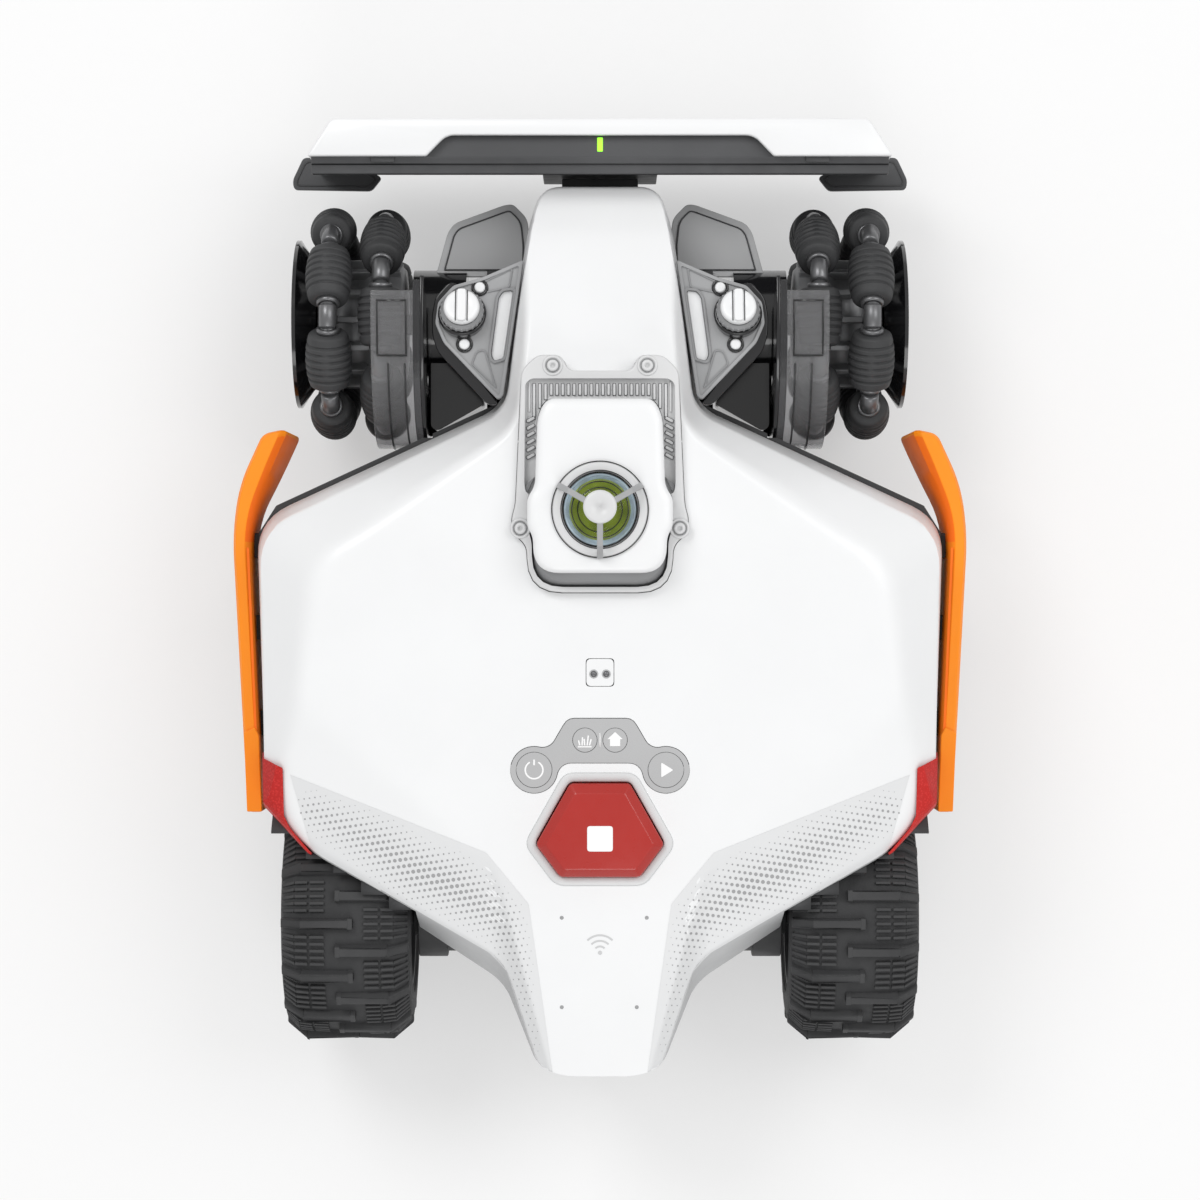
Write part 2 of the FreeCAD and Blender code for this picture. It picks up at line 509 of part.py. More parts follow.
def suspension(word, s):
    outline = [(f"{s}*({x})", y) for x, y in TOWER_OUTLINE]
    slot = [(f"{s}*({x})", y) for x, y in TOWER_SLOT]
    plate = cut(f"tower_plate_{word}", prism(f"tower_top_{word}", outline, "tower_z - 7", "7", "2"),
                prism(f"tower_slot_{word}", slot, "tower_z - 20", "40", "1.5"))
    tube = along_strut(f"tower_tube_{word}", "13", "-36", "35", s)
    legs = [block(f"tower_leg_{word}{k}", f"{s}*76", y, "106", "13", "8", "tower_z - 108")
            for k, y in enumerate(("front_axle_y - 34", "front_axle_y + 34"))]
    trim = block(f"tower_trim_{word}", f"{s}*98.5", "204", "tower_z", "80", "120", "30")
    body = cut(f"tower_core_{word}", fuse(f"tower_fuse_{word}", plate, tube, *legs), trim,
               along_strut(f"tower_bore_{word}", "9.5", "-60", "52", s),
               along_strut(f"tower_stem_bore_{word}", "4 + run_gap", "-20", "40", s),
               *[rod(f"tower_screw_bore_{word}{k}", "2.1", "30", f"{s}*{x}", y, "tower_z - 20")
                 for k, (x, y) in enumerate(TOWER_SCREWS)])
    node(f"strut_tower_{word}", body)
    grip = along_strut(f"knob_grip_{word}", "knob_rad - 3.5", "13", "6", s)
    skirt = along_strut(f"knob_skirt_{word}", "knob_rad", "5.4", "9", s)
    stem = along_strut(f"knob_stem_{word}", "4", "-10", "16", s)
    node(f"strut_knob_{word}", fuse(f"strut_knob_solid_{word}", grip, skirt, stem))
    boss = rod(f"arm_boss_{word}", "12", "56", f"{s}*arm_pivot_x", "front_axle_y - 28", "arm_pivot_z", "Y")
    beam = block(f"arm_beam_{word}", f"{s}*104", "front_axle_y", "72", "60", "50", "38")
    fairing_plan = [("85.5", "143"), ("124", "121"), ("124", "190"), ("85.5", "190")]
    fairing = prism(f"arm_fairing_{word}", [(f"{s}*{x}", y) for x, y in fairing_plan], "66", "46", "5")
    drum_from = {1: "98", -1: "-137"}[s]
    drum = rod(f"arm_drum_{word}", "40", "39", drum_from, "front_axle_y", "front_axle_z", "X")
    stub_from = {1: "136", -1: "-206"}[s]
    stub = rod(f"arm_stub_{word}", "8", "70", stub_from, "front_axle_y", "front_axle_z", "X")
    pushrod = along_strut(f"arm_rod_{word}", "3", "-70", "44", s)
    seat = along_strut(f"arm_seat_{word}", "8.5", "-49", "2", s)
    bore = rod(f"arm_bore_{word}", "5 + run_gap", "70", f"{s}*arm_pivot_x", "front_axle_y - 35", "arm_pivot_z",
               "Y")
    arm = fuse(f"swing_arm_fuse_{word}", boss, beam, fairing, drum, stub, pushrod, seat)
    node(f"swing_arm_{word}", cut(f"swing_arm_solid_{word}", arm, bore))


def pivot_pins():
    pins = [rod(f"arm_pin{k}", "5", "83", f"{s}*arm_pivot_x", "front_axle_y - 42", "arm_pivot_z", "Y")
            for k, s in enumerate((-1, 1))]
    node("arm_pivot_pins", group("arm_pin_pair", *pins))


def springs():
    """One coil round each push rod, as a wire swept along a helix on the strut's tilted axis."""
    coils = []
    lean = FreeCAD.Rotation(FreeCAD.Vector(1, 0, 0), -number("strut_tilt"))
    for s in (-1, 1):
        helix = Part.makeHelix(6, 33, 8)
        wire = Part.Wire([Part.Circle(FreeCAD.Vector(8, 0, 0), FreeCAD.Vector(0, 1, 0), 0.9).toShape()])
        coil = Part.Wire(helix).makePipeShell([wire], True, True)
        foot = FreeCAD.Vector(s * number("knob_x"), number("front_axle_y"), number("tower_z"))
        coil.Placement = FreeCAD.Placement(foot + lean.multVec(FreeCAD.Vector(0, 0, -43)), lean)
        coils.append(coil)
    solid("strut_springs", Part.makeCompound(coils))


ROLLERS_PER_ROW = 7


def wheel_guard(word, s):
    tube_from = {1: "126", -1: "-164"}[s]
    outer = rod(f"guard_out_{word}", "92", "38", tube_from, "front_axle_y", "front_axle_z", "X")
    hollow_from = {1: "129", -1: "-169"}[s]
    hollow = rod(f"guard_in_{word}", "88.5", "40", hollow_from, "front_axle_y", "front_axle_z", "X")
    eye_from = {1: "110", -1: "-170"}[s]
    eye = rod(f"guard_eye_{word}", "40.3", "60", eye_from, "front_axle_y", "front_axle_z", "X")
    zone = prism(f"guard_zone_{word}", [("100", "74"), ("150", "74"), ("204", "46"), ("224", "120"),
                 ("224", "200"), ("100", "200")], "-250", "500", role="YZ_Plane")
    shell = cut(f"guard_shell_{word}", outer, hollow)
    node(f"wheel_guard_{word}", cut(f"wheel_guard_solid_{word}", common(f"guard_arc_{word}", shell, zone), eye))


def front_wheel(word, s):
    ring, pin = number("ring_rad"), number("roller_pin")
    half = ring * math.tan(math.pi / ROLLERS_PER_ROW)
    core = Part.makeCylinder(46, 58, FreeCAD.Vector(-29, 0, 0), FreeCAD.Vector(1, 0, 0))
    parts, rollers = [], []
    axle = Part.makeCylinder(pin, 2 * half, FreeCAD.Vector(0, -half, ring), FreeCAD.Vector(0, 1, 0))
    post = Part.makeBox(9, 8, 40, FreeCAD.Vector(-4.5, -4, 40))
    length, mid, end = (number(a) for a in ("roller_len", "roller_mid", "roller_end"))
    profile = [(pin + 0.05, -length / 2), (end - 3, -length / 2), (end, -length / 2 + 4), (mid - 0.6, -6),
               (mid, 0), (mid - 0.6, 6), (end, length / 2 - 4), (end - 3, length / 2),
               (pin + 0.05, length / 2)]
    points = [FreeCAD.Vector(r, a, 0) for r, a in profile]
    face = Part.Face(Part.makePolygon(points + points[:1]))
    barrel = face.revolve(FreeCAD.Vector(), FreeCAD.Vector(0, 1, 0), 360)
    barrel.translate(FreeCAD.Vector(0, 0, ring))
    middle = (number("row_outer") + number("row_inner")) / 2
    for row, phase in (("row_outer", 0.5), ("row_inner", 0.0)):
        shift = FreeCAD.Vector(s * (number(row) - middle), 0, 0)
        kinds = ((axle, parts, phase), (post, parts, phase + 0.5), (barrel, rollers, phase))
        for template, where, turn in kinds:
            for copy in ring_copies(template, ROLLERS_PER_ROW, turn):
                copy.translate(shift)
                where.append(copy)
    hub = core.fuse(parts)
    shaft_hole = Part.makeCylinder(8 + number("run_gap"), 80, FreeCAD.Vector(-40, 0, 0), FreeCAD.Vector(1, 0, 0))
    hub = hub.cut(shaft_hole)
    at = (f"{s}*(row_outer + row_inner)/2", "front_axle_y", "front_axle_z")
    solid(f"omni_hub_{word}", hub, *at)
    solid(f"omni_rollers_{word}", Part.makeCompound(rollers), *at)
    cap = [("206.5", "0"), ("206.5", "44"), ("212", "48"), ("221", "62"), ("223.5", "62"), ("222", "54"),
           ("217", "44"), ("215", "0")]
    node(f"hub_cap_{word}", turned(f"hub_cap_turn_{word}", cap, "0", "front_axle_y", "front_axle_z", step=s))


# ---------------------------------------------------------------- rear wheels and drive
LUGS_PER_SIDE = 14


def rear_wheel(word, s):
    half, rim, top = number("tyre_wide") / 2, number("rim_rad"), number("rear_wheel_rad")
    section = [(-half, rim), (-half, top - 20), (-half + 12, top - 7), (half - 12, top - 7), (half, top - 20),
               (half, rim)]
    points = [FreeCAD.Vector(a, 0, r) for a, r in section]
    face = Part.Face(Part.makePolygon(points + points[:1]))
    ring = face.revolve(FreeCAD.Vector(), FreeCAD.Vector(1, 0, 0), 360)
    lugs = []
    for side, phase in ((-1, 0.0), (1, 0.5)):
        outline = [(0.1 * half, top - 12), (0.1 * half, top + 1), (0.66 * half, top + 1),
                   (half - 0.5, top - 12), (half - 1.5, top - 24)]
        corners = [FreeCAD.Vector(side * a, -6.5, r) for a, r in outline]
        lug = Part.Face(Part.makePolygon(corners + corners[:1])).extrude(FreeCAD.Vector(0, 13, 0))
        lugs += ring_copies(lug, LUGS_PER_SIDE, phase)
    reach = Part.makeCylinder(top, 2 * half, FreeCAD.Vector(-half, 0, 0), FreeCAD.Vector(1, 0, 0))
    at = (f"{s}*rear_wheel_x", "rear_axle_y", "rear_wheel_rad")
    solid(f"rear_tyre_{word}", ring.fuse(lugs).common(reach), *at)
    inner, outer = "rear_wheel_x - tyre_wide/2 + 2", "rear_wheel_x + tyre_wide/2 - 4"
    rim_profile = [(inner, "rim_rad"), (inner, "rim_rad - 4"), (f"{outer} - 12", "rim_rad - 6"),
                   (f"{outer} - 16", "22"), (f"{outer} - 44", "22"), (f"{outer} - 44", "8 + run_gap"),
                   (f"{outer} - 6", "8 + run_gap"), (f"{outer} - 6", "26"), (f"{outer} - 8", "rim_rad - 13"),
                   (outer, "rim_rad - 4"), (outer, "rim_rad")]
    at = ("0", "rear_axle_y", "rear_wheel_rad")
    node(f"rear_rim_{word}", turned(f"rear_rim_turn_{word}", rim_profile, *at, step=s))
    motor = [("54", "0"), ("54", "28"), ("112", "28"), ("112", "32"), ("133", "32"), ("133", "16"),
             ("137", "16"), ("137", "8"), ("212", "8"), ("212", "0")]
    node(f"rear_motor_{word}", turned(f"rear_motor_turn_{word}", motor, *at, step=s))


# ---------------------------------------------------------------- cutting deck
DECK_HALF = [("208.5", "hull_rear + 8"), ("210.5", "39"), ("194", "60"), ("58.5", "117.5")]
BLADES_PER_DISC = 3


def cutting_deck():
    plate = prism("deck_plate", mirrored(DECK_HALF), "86", "4", "8")
    bores = [rod(f"deck_bore{k}", "16", "20", f"{s}*disc_x", "disc_y", "80") for k, s in enumerate((-1, 1))]
    node("deck_plate", cut("deck_plate_solid", plate, *bores))
    for word, s in (("left", -1), ("right", 1)):
        at = (f"{s}*disc_x", "disc_y")
        motor = cut(f"disc_motor_body_{word}", rod(f"disc_motor_can_{word}", "27", "40", *at, "90"),
                    rod(f"disc_motor_bore_{word}", "5 + run_gap", "14", *at, "89"))
        node(f"disc_motor_{word}", motor)
        plate = rod(f"disc_plate_{word}", "disc_rad", "3.5", *at, "blade_z + 4")
        boss = rod(f"disc_boss_{word}", "14", "22", *at, "blade_z + 4")
        shaft = rod(f"disc_shaft_{word}", "5", "38", *at, "blade_z + 4")
        pins = []
        for k in range(BLADES_PER_DISC):
            angle = math.radians(90 + 360 * k / BLADES_PER_DISC)
            x = f"{s}*disc_x + blade_seat*{math.cos(angle):.6f}"
            y = f"disc_y + blade_seat*{math.sin(angle):.6f}"
            pins.append(rod(f"blade_pin_{word}{k}", "2.5", "8", x, y, "blade_z - 3"))
            pins.append(rod(f"blade_head_{word}{k}", "5", "1.6", x, y, "blade_z - 3.2"))
            pins.append(rod(f"blade_collar_{word}{k}", "4.5", "2.6", x, y, "blade_z + 1.4"))
            outline = [("-6", "-8"), ("26", "-8"), ("30", "-4"), ("30", "4"), ("26", "8"), ("-6", "8")]
            blank = prism(f"blade_blank_{word}{k}", outline, "0", "0.9")
            bore = rod(f"blade_bore_{word}{k}", "2.5 + run_gap", "4", z="-1")
            blade = cut(f"blade_cut_{word}{k}", blank, bore)
            turn = f"{90 + 360 * k // BLADES_PER_DISC}"
            node(f"blade_{word}_{k + 1}", put(blade, x, y, "blade_z", (0, 0, 1), turn))
        node(f"cutting_disc_{word}", fuse(f"cutting_disc_solid_{word}", plate, boss, shaft, *pins))


# ---------------------------------------------------------------- inside and small parts
def inside():
    node("battery_pack", block("battery_block", "0", "-190", "62", "96", "130", "58"))
    board = block("board_plate", "0", "-190", "120", "88", "122", "2")
    chips = [block("board_chip0", "-20", "-170", "121", "26", "26", "5"),
             block("board_chip1", "22", "-205", "121", "20", "30", "8"),
             block("board_chip2", "-24", "-228", "121", "30", "12", "12")]
    node("control_board", fuse("control_board_solid", board, *chips))
    puck = rod("antenna_puck", "27", "10", "0", "-292", "150")
    node("position_antenna", fuse("antenna_solid", puck, rod("antenna_post", "7", "89", "0", "-292", "62")))
    window = block("camera_glass", "0", "290.2", "108", "68", "4", "17")
    eyes = [rod(f"camera_eye{k}", "6.5", "2.4", f"{s}*21", "292", "116.5", "Y")
            for k, s in enumerate((-1, 1))]
    node("camera_window", fuse("camera_window_solid", window, *eyes))
    outline = [("51.8", "246"), ("51.5", "262"), ("53.5", "281"), ("64", "291.5"), ("70", "291"),
               ("107", "277.5"), ("112", "271"), ("118.5", "246")]
    node("front_deflectors", group("deflector_pair", *[
        prism(f"deflector_plate{k}", [(f"{s}*({x})", y) for x, y in outline], "96", "5", "3")
        for k, s in enumerate((-1, 1))]))
    heads = []
    for k, (x, y) in enumerate(SCANNER_SCREWS):
        heads.append(fuse(f"scanner_screw{k}", rod(f"scanner_shank{k}", "2", "20", x, y, "deck_z - 11"),
                          rod(f"scanner_head_screw{k}", "4.2", "2.6", x, y, "deck_z + 9")))
    for s in (-1, 1):
        for k, (x, y) in enumerate(TOWER_SCREWS):
            shank = rod(f"tower_shank{s}{k}", "2", "12", f"{s}*{x}", y, "tower_z - 10")
            head = rod(f"tower_head{s}{k}", "4", "3", f"{s}*{x}", y, "tower_z")
            heads.append(fuse(f"tower_screw{s}{k}", shank, head))
    node("cover_screws", group("cover_screws_group", *heads))


def build():
    cover()
    hull()
    deck_controls()
    scanner()
    sides()
    bumper()
    pivot_pins()
    springs()
    cutting_deck()
    inside()
    for word, s in (("left", -1), ("right", 1)):
        suspension(word, s)
        wheel_guard(word, s)
        front_wheel(word, s)
        rear_wheel(word, s)


def check_and_write():
    doc.recompute()
    broken = [o.Label for o in doc.Objects if {"Invalid", "Error"} & set(o.State)]
    if broken:
        raise SystemExit(f"failed objects: {broken}")
    for name, obj in finished:
        if obj.Shape.isNull() or not obj.Shape.isValid() or not obj.Shape.Solids:
            raise SystemExit(f"{name} has no valid solid")
    os.makedirs("parts", exist_ok=True)
    for name, obj in finished:
        obj.Shape.exportStep(f"parts/{name}.step")


build()
check_and_write()
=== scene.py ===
"""Looks for the robotic lawn mower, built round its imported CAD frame. Helpers take millimetres."""
import math

import bmesh
import bpy
import numpy as np
from mathutils import Matrix, Vector
from mathutils.bvhtree import BVHTree


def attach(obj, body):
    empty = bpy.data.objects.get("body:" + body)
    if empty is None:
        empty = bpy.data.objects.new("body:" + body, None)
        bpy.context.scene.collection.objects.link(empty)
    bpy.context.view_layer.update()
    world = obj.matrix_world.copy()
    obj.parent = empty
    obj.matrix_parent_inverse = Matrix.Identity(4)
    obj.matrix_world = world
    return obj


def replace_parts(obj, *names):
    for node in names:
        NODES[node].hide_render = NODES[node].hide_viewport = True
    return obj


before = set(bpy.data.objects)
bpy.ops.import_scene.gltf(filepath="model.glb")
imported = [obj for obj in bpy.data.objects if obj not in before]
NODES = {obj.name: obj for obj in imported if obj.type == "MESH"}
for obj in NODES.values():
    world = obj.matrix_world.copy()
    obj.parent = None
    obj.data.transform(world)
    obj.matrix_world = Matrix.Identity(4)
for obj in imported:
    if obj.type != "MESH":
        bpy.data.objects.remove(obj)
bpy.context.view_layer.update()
MM = 0.001
SIDES = (("left", -1), ("right", 1))


# ---------------------------------------------------------------- materials
def material(name, colour, rough=0.45, metal=0.0, grain=900.0, bump=0.08, vary=0.05, wear=0.0, coat=0.0,
             clear=0.0, ior=1.46, glow=0.0, cells=0.0, brushed=False, tint_scale=14.0):
    """A node-based finish: tint drift, roughness breakup, fine grain, pale edges where it wears, and, with
    cells, a lattice relief whose cells are painted lighter at their middles as glints.
    """
    mat = bpy.data.materials.new(name)
    mat.use_nodes = True
    tree = mat.node_tree
    made, link = tree.nodes, tree.links.new
    shader = made["Principled BSDF"]
    coords = made.new("ShaderNodeTexCoord")
    where = coords.outputs["Object"]
    if brushed:
        stretch = made.new("ShaderNodeMapping")
        stretch.inputs["Scale"].default_value = (1.0, 0.06, 1.0)
        link(where, stretch.inputs["Vector"])
        where = stretch.outputs["Vector"]

    def noise(scale, detail):
        node = made.new("ShaderNodeTexNoise")
        node.inputs["Scale"].default_value = scale
        node.inputs["Detail"].default_value = detail
        link(where, node.inputs["Vector"])
        return node.outputs["Fac"]

    def ramp(source, low, high, low_at=0.3, high_at=0.7):
        node = made.new("ShaderNodeMapRange")
        node.inputs["From Min"].default_value = low_at
        node.inputs["From Max"].default_value = high_at
        node.inputs["To Min"].default_value = low
        node.inputs["To Max"].default_value = high
        link(source, node.inputs["Value"])
        return node.outputs["Result"]

    def mixed(factor, a, b):
        node = made.new("ShaderNodeMix")
        node.data_type = "RGBA"
        link(factor, node.inputs["Factor"])
        for socket, value in ((node.inputs["A"], a), (node.inputs["B"], b)):
            if isinstance(value, bpy.types.NodeSocket):
                link(value, socket)
            else:
                socket.default_value = (*value, 1.0)
        return node.outputs["Result"]

    dark = tuple(c * (1 - vary) for c in colour)
    light = tuple(min(1.0, c * (1 + vary)) for c in colour)
    tint = mixed(ramp(noise(tint_scale, 3.0), 0.0, 1.0), dark, light)
    if cells:
        # Lattice relief, with painted glints: each cell is lighter towards its middle.
        lattice = made.new("ShaderNodeTexVoronoi")
        lattice.inputs["Scale"].default_value = cells
        link(where, lattice.inputs["Vector"])
        painted_glint = ramp(lattice.outputs["Distance"], 0.65, 0.0, 0.0, 0.55)
        tint = mixed(painted_glint, tint, tuple(min(1.0, c * 1.5 + 0.03) for c in colour))
    if wear:
        edge = made.new("ShaderNodeNewGeometry")
        worn = ramp(edge.outputs["Pointiness"], 0.0, wear, 0.52, 0.62)
        tint = mixed(worn, tint, tuple(min(1.0, c * 1.3 + 0.08) for c in colour))
    link(tint, shader.inputs["Base Color"])
    smoothest, roughest = max(0.02, rough - 0.05), min(1.0, rough + 0.06)
    link(ramp(noise(grain * 0.11, 2.0), smoothest, roughest), shader.inputs["Roughness"])
    relief = made.new("ShaderNodeBump")
    relief.inputs["Strength"].default_value = bump
    relief.inputs["Distance"].default_value = 0.0004
    link(lattice.outputs["Distance"] if cells else noise(grain, 4.0), relief.inputs["Height"])
    link(relief.outputs["Normal"], shader.inputs["Normal"])
    values = {"Metallic": metal, "Coat Weight": coat, "Transmission Weight": clear, "IOR": ior,
              "Emission Strength": glow, "Coat Roughness": 0.12, "Emission Color": (*colour, 1.0)}
    for socket, value in values.items():
        shader.inputs[socket].default_value = value
    return mat


WHITE = material("white_shell", (0.80, 0.805, 0.81), 0.38, coat=0.12, bump=0.035, vary=0.012, grain=1400)
SKIRT = material("skirt_grey", (0.50, 0.505, 0.51), 0.5, bump=0.06, vary=0.03)
# Painted shade: a darker copy of the shell's white, for the sloping faces behind the shoulders.
BAND_SHADED_WHITE = material("band_painted_shade", (0.69, 0.695, 0.70), 0.42, coat=0.1, bump=0.035, vary=0.012, grain=1400)
DOTS = material("dot_print", (0.33, 0.332, 0.336), 0.5, bump=0.03, vary=0.04)
PANEL = material("keypad_grey", (0.44, 0.442, 0.445), 0.42, bump=0.05, vary=0.03)
RIM_GREY = material("bezel_grey", (0.64, 0.642, 0.645), 0.36, bump=0.04, vary=0.02, coat=0.1)
FIN_GREY = material("fin_grey", (0.25, 0.252, 0.257), 0.46, bump=0.1, vary=0.06, wear=0.3)
FIN_LIGHT = material("fin_light", (0.42, 0.423, 0.428), 0.46, bump=0.1, vary=0.04, wear=0.2)
TOWER = material("tower_grey", (0.33, 0.333, 0.338), 0.44, bump=0.09, vary=0.05, wear=0.3)
DARK = material("dark_moulding", (0.058, 0.059, 0.062), 0.5, bump=0.16, vary=0.12, wear=0.35)
HULL = material("hull_black", (0.026, 0.0265, 0.028), 0.55, bump=0.2, vary=0.15, wear=0.3)
VOID = material("deep_black", (0.006, 0.006, 0.007), 0.6, bump=0.1, vary=0.2)
ORANGE = material("rail_orange", (1.0, 0.27, 0.0), 0.55, bump=0.05, vary=0.03)
# Painted shade: a deeper copy of the rail orange, for the rail's inward faces at the tip and a line along its
# top.
ORANGE_SHADED = material("rail_painted_shade", (1.0, 0.17, 0.0), 0.6, bump=0.08, vary=0.05)
RED = material("stop_red", (0.40, 0.018, 0.012), 0.3, coat=0.35, bump=0.03, vary=0.04)
# The tail lamp's cells carry real relief and painted glints, lighter at each cell's middle.
LAMP = material("lamp_red", (0.46, 0.006, 0.003), 0.62, bump=0.4, vary=0.1, cells=620)
LEGEND = material("legend_white", (0.86, 0.86, 0.86), 0.4, bump=0.02, vary=0.01)
FAINT = material("legend_faint", (0.55, 0.552, 0.556), 0.5, bump=0.02, vary=0.02)
ROLLER = material("roller_rubber", (0.036, 0.0365, 0.038), 0.62, bump=0.35, vary=0.2, grain=1500, wear=0.25)
TYRE = material("tyre_rubber", (0.029, 0.0292, 0.0305), 0.68, bump=0.4, vary=0.22, grain=1200, wear=0.3)
SHAFT = material("shaft_metal", (0.17, 0.171, 0.176), 0.36, metal=0.7, bump=0.06, brushed=True)
KNUCKLE = material("cast_grey", (0.17, 0.172, 0.177), 0.42, metal=0.35, bump=0.25, vary=0.12, wear=0.4)
STEEL = material("brushed_steel", (0.56, 0.56, 0.58), 0.28, metal=1.0, bump=0.1, brushed=True, grain=1500)
GLOSS = material("gloss_black", (0.008, 0.008, 0.009), 0.12, coat=0.6, bump=0.02, vary=0.2)
SMOKE = material("smoked_clear", (0.56, 0.56, 0.57), 0.08, clear=0.84, bump=0.02, vary=0.04, ior=1.18)
SMOKE_DARK = material("smoked_dark", (0.16, 0.16, 0.165), 0.1, clear=0.75, bump=0.02, vary=0.05, ior=1.18)
LENS = material("lens_glass", (0.97, 0.985, 1.0), 0.01, clear=1.0, bump=0.0, vary=0.0, ior=1.12)
IRIS = material("lens_green", (0.20, 0.26, 0.02), 0.16, coat=1.0, bump=0.02, vary=0.3, tint_scale=70)
IRIS_BLUE = material("lens_blue", (0.50, 0.62, 0.70), 0.12, coat=1.0, bump=0.02, vary=0.3, tint_scale=60)
GREEN = material("lamp_green", (0.25, 0.9, 0.03), 0.3, glow=1.6, bump=0.02)
BOARD = material("board_green", (0.02, 0.12, 0.05), 0.45, bump=0.2, vary=0.2)
BATTERY = material("battery_wrap", (0.05, 0.07, 0.12), 0.4, bump=0.06, vary=0.08)


# ---------------------------------------------------------------- mesh helpers
def dress(obj, mat):
    obj.data.materials.clear()
    obj.data.materials.append(mat)
    return obj


def piece(name, verts, faces, mat, body="chassis", slot=None, smooth=True):
    """A mesh piece from points in millimetres, welded and with its faces turned outward."""
    mesh = bpy.data.meshes.new(name)
    mesh.from_pydata([tuple(c * MM for c in v) for v in verts], [], faces)
    work = bmesh.new()
    work.from_mesh(mesh)
    bmesh.ops.remove_doubles(work, verts=work.verts, dist=2e-6)
    bmesh.ops.recalc_face_normals(work, faces=work.faces)
    work.to_mesh(mesh)
    work.free()
    obj = bpy.data.objects.new(name, mesh)
    bpy.context.scene.collection.objects.link(obj)
    dress(obj, mat)
    if smooth:
        for face in mesh.polygons:
            face.use_smooth = True
    if body:
        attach(obj, body)
    return obj


def modify(obj, kind, **values):
    modifier = obj.modifiers.new(kind.lower(), kind)
    for key, value in values.items():
        setattr(modifier, key, value)
    return modifier


def soften(obj, width=0.8, segments=3, angle=35):
    """Rounds the sharp edges and keeps the flats flat."""
    modify(obj, "BEVEL", width=width * MM, segments=segments, limit_method="ANGLE",
           angle_limit=math.radians(angle), use_clamp_overlap=True, harden_normals=False)
    modify(obj, "WEIGHTED_NORMAL", keep_sharp=True)
    return obj


def solid(name, part, mat, body="chassis", slot=None, edge=0.0, segments=3):
    """A piece from one (verts, faces) set, with its edges rounded when a width is given."""
    obj = piece(name, *part, mat, body, slot)
    return soften(obj, edge, segments) if edge else obj


def bake(obj):
    """Applies the modifiers, so that the piece is a plain mesh again."""
    graph = bpy.context.evaluated_depsgraph_get()
    mesh = bpy.data.meshes.new_from_object(obj.evaluated_get(graph))
    obj.modifiers.clear()
    obj.data = mesh
    return obj


def carve(obj, *parts):
    """Cuts (verts, faces) sets out of a piece."""
    for part in parts:
        cutter = piece("cutter", *part, WHITE, None)
        modify(obj, "BOOLEAN", object=cutter, operation="DIFFERENCE", solver="MANIFOLD")
        bake(obj)
        bpy.data.objects.remove(cutter)
    return obj


def settle(obj, body, node):
    """Puts a carved piece on its body in place of a CAD node."""
    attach(obj, body)
    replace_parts(obj, node)


def face_up(obj):
    """Turns the faces of an open sheet upward."""
    for face in obj.data.polygons:
        if face.normal.z < 0:
            face.flip()


def rounded(points, radius, steps=5):
    """A closed outline with each corner rounded; radius may be one number or one per corner."""
    count = len(points)
    radii = [radius] * count if isinstance(radius, (int, float)) else radius
    out = []
    for k, here in enumerate(points):
        here = Vector(here)
        before, after = Vector(points[k - 1]), Vector(points[(k + 1) % count])
        back, ahead = before - here, after - here
        shares = [run.length * 0.98 * radii[k] / max(radii[k] + other, 0.001)
                  for run, other in ((back, radii[k - 1]), (ahead, radii[(k + 1) % count]))]
        reach = min(radii[k], *shares)
        start, end = here + back.normalized() * reach, here + ahead.normalized() * reach
        if reach < 0.01:
            out.append(tuple(here))
            continue
        for step in range(steps + 1):
            t = step / steps
            out.append(tuple(start * (1 - t) ** 2 + here * 2 * t * (1 - t) + end * t * t))
    return out


def mirror(half):
    return list(half) + [(-x, y) for x, y in reversed(half) if x != 0]


def handed(points, s):
    """A counter-clockwise outline of the right side, moved to the side whose sign is given."""
    return [(s * x, y) for x, y in points][::s]


def quads(rings, count, closed=False):
    """The faces between rings of points; closed joins the last ring to the first."""
    faces = []
    for r in range(rings if closed else rings - 1):
        low, high = r * count, (r + 1) % rings * count
        for k in range(count):
            n = (k + 1) % count
            faces.append((low + k, low + n, high + n, high + k))
    return faces


def slab_mesh(outline, low, high):
    count = len(outline)
    verts = [(x, y, low) for x, y in outline] + [(x, y, high) for x, y in outline]
    faces = [tuple(reversed(range(count))), tuple(range(count, 2 * count))]
    faces += [(k, (k + 1) % count, count + (k + 1) % count, count + k) for k in range(count)]
    return verts, faces


def slab(name, outline, low, high, mat, body="chassis", slot=None, edge=0.0, segments=3):
    """An outline in plan, made into a plate with softened edges."""
    return solid(name, slab_mesh(outline, low, high), mat, body, slot, edge, segments)


def ring_mesh(outer, inner, low, high):
    """A flat ring between two outlines that have the same count of points."""
    count = len(outer)
    verts = [(x, y, z) for z in (low, high) for ring in (outer, inner) for x, y in ring]
    faces = []
    for k in range(count):
        n = (k + 1) % count
        faces += [(k, n, count + n, count + k), (2 * count + k, 2 * count + n, n, k),
                  (count + k, count + n, 3 * count + n, 3 * count + k),
                  (3 * count + k, 3 * count + n, 2 * count + n, 2 * count + k)]
    return verts, faces


def lathe_mesh(profile, centre=(0, 0, 0), along="Z", segments=64, closed=True):
    """Rings of (distance, radius) pairs turned round an axis; closed joins the last ring to the first."""
    rings = len(profile)
    verts = []
    for dist, radius in profile:
        for k in range(segments):
            a = 2 * math.pi * k / segments
            u, v = radius * math.cos(a), radius * math.sin(a)
            x, y, z = {"Z": (u, v, dist), "X": (dist, u, v), "Y": (v, dist, u)}[along]
            verts.append((x + centre[0], y + centre[1], z + centre[2]))
    faces = quads(rings, segments, closed)
    if not closed:
        faces += [tuple(range(segments)), tuple((rings - 1) * segments + k for k in range(segments))]
    return verts, faces


def lathe(name, profile, centre, along, mat, body="chassis", slot=None, segments=64, edge=0.0):
    return solid(name, lathe_mesh(profile, centre, along, segments), mat, body, slot, edge, 2)


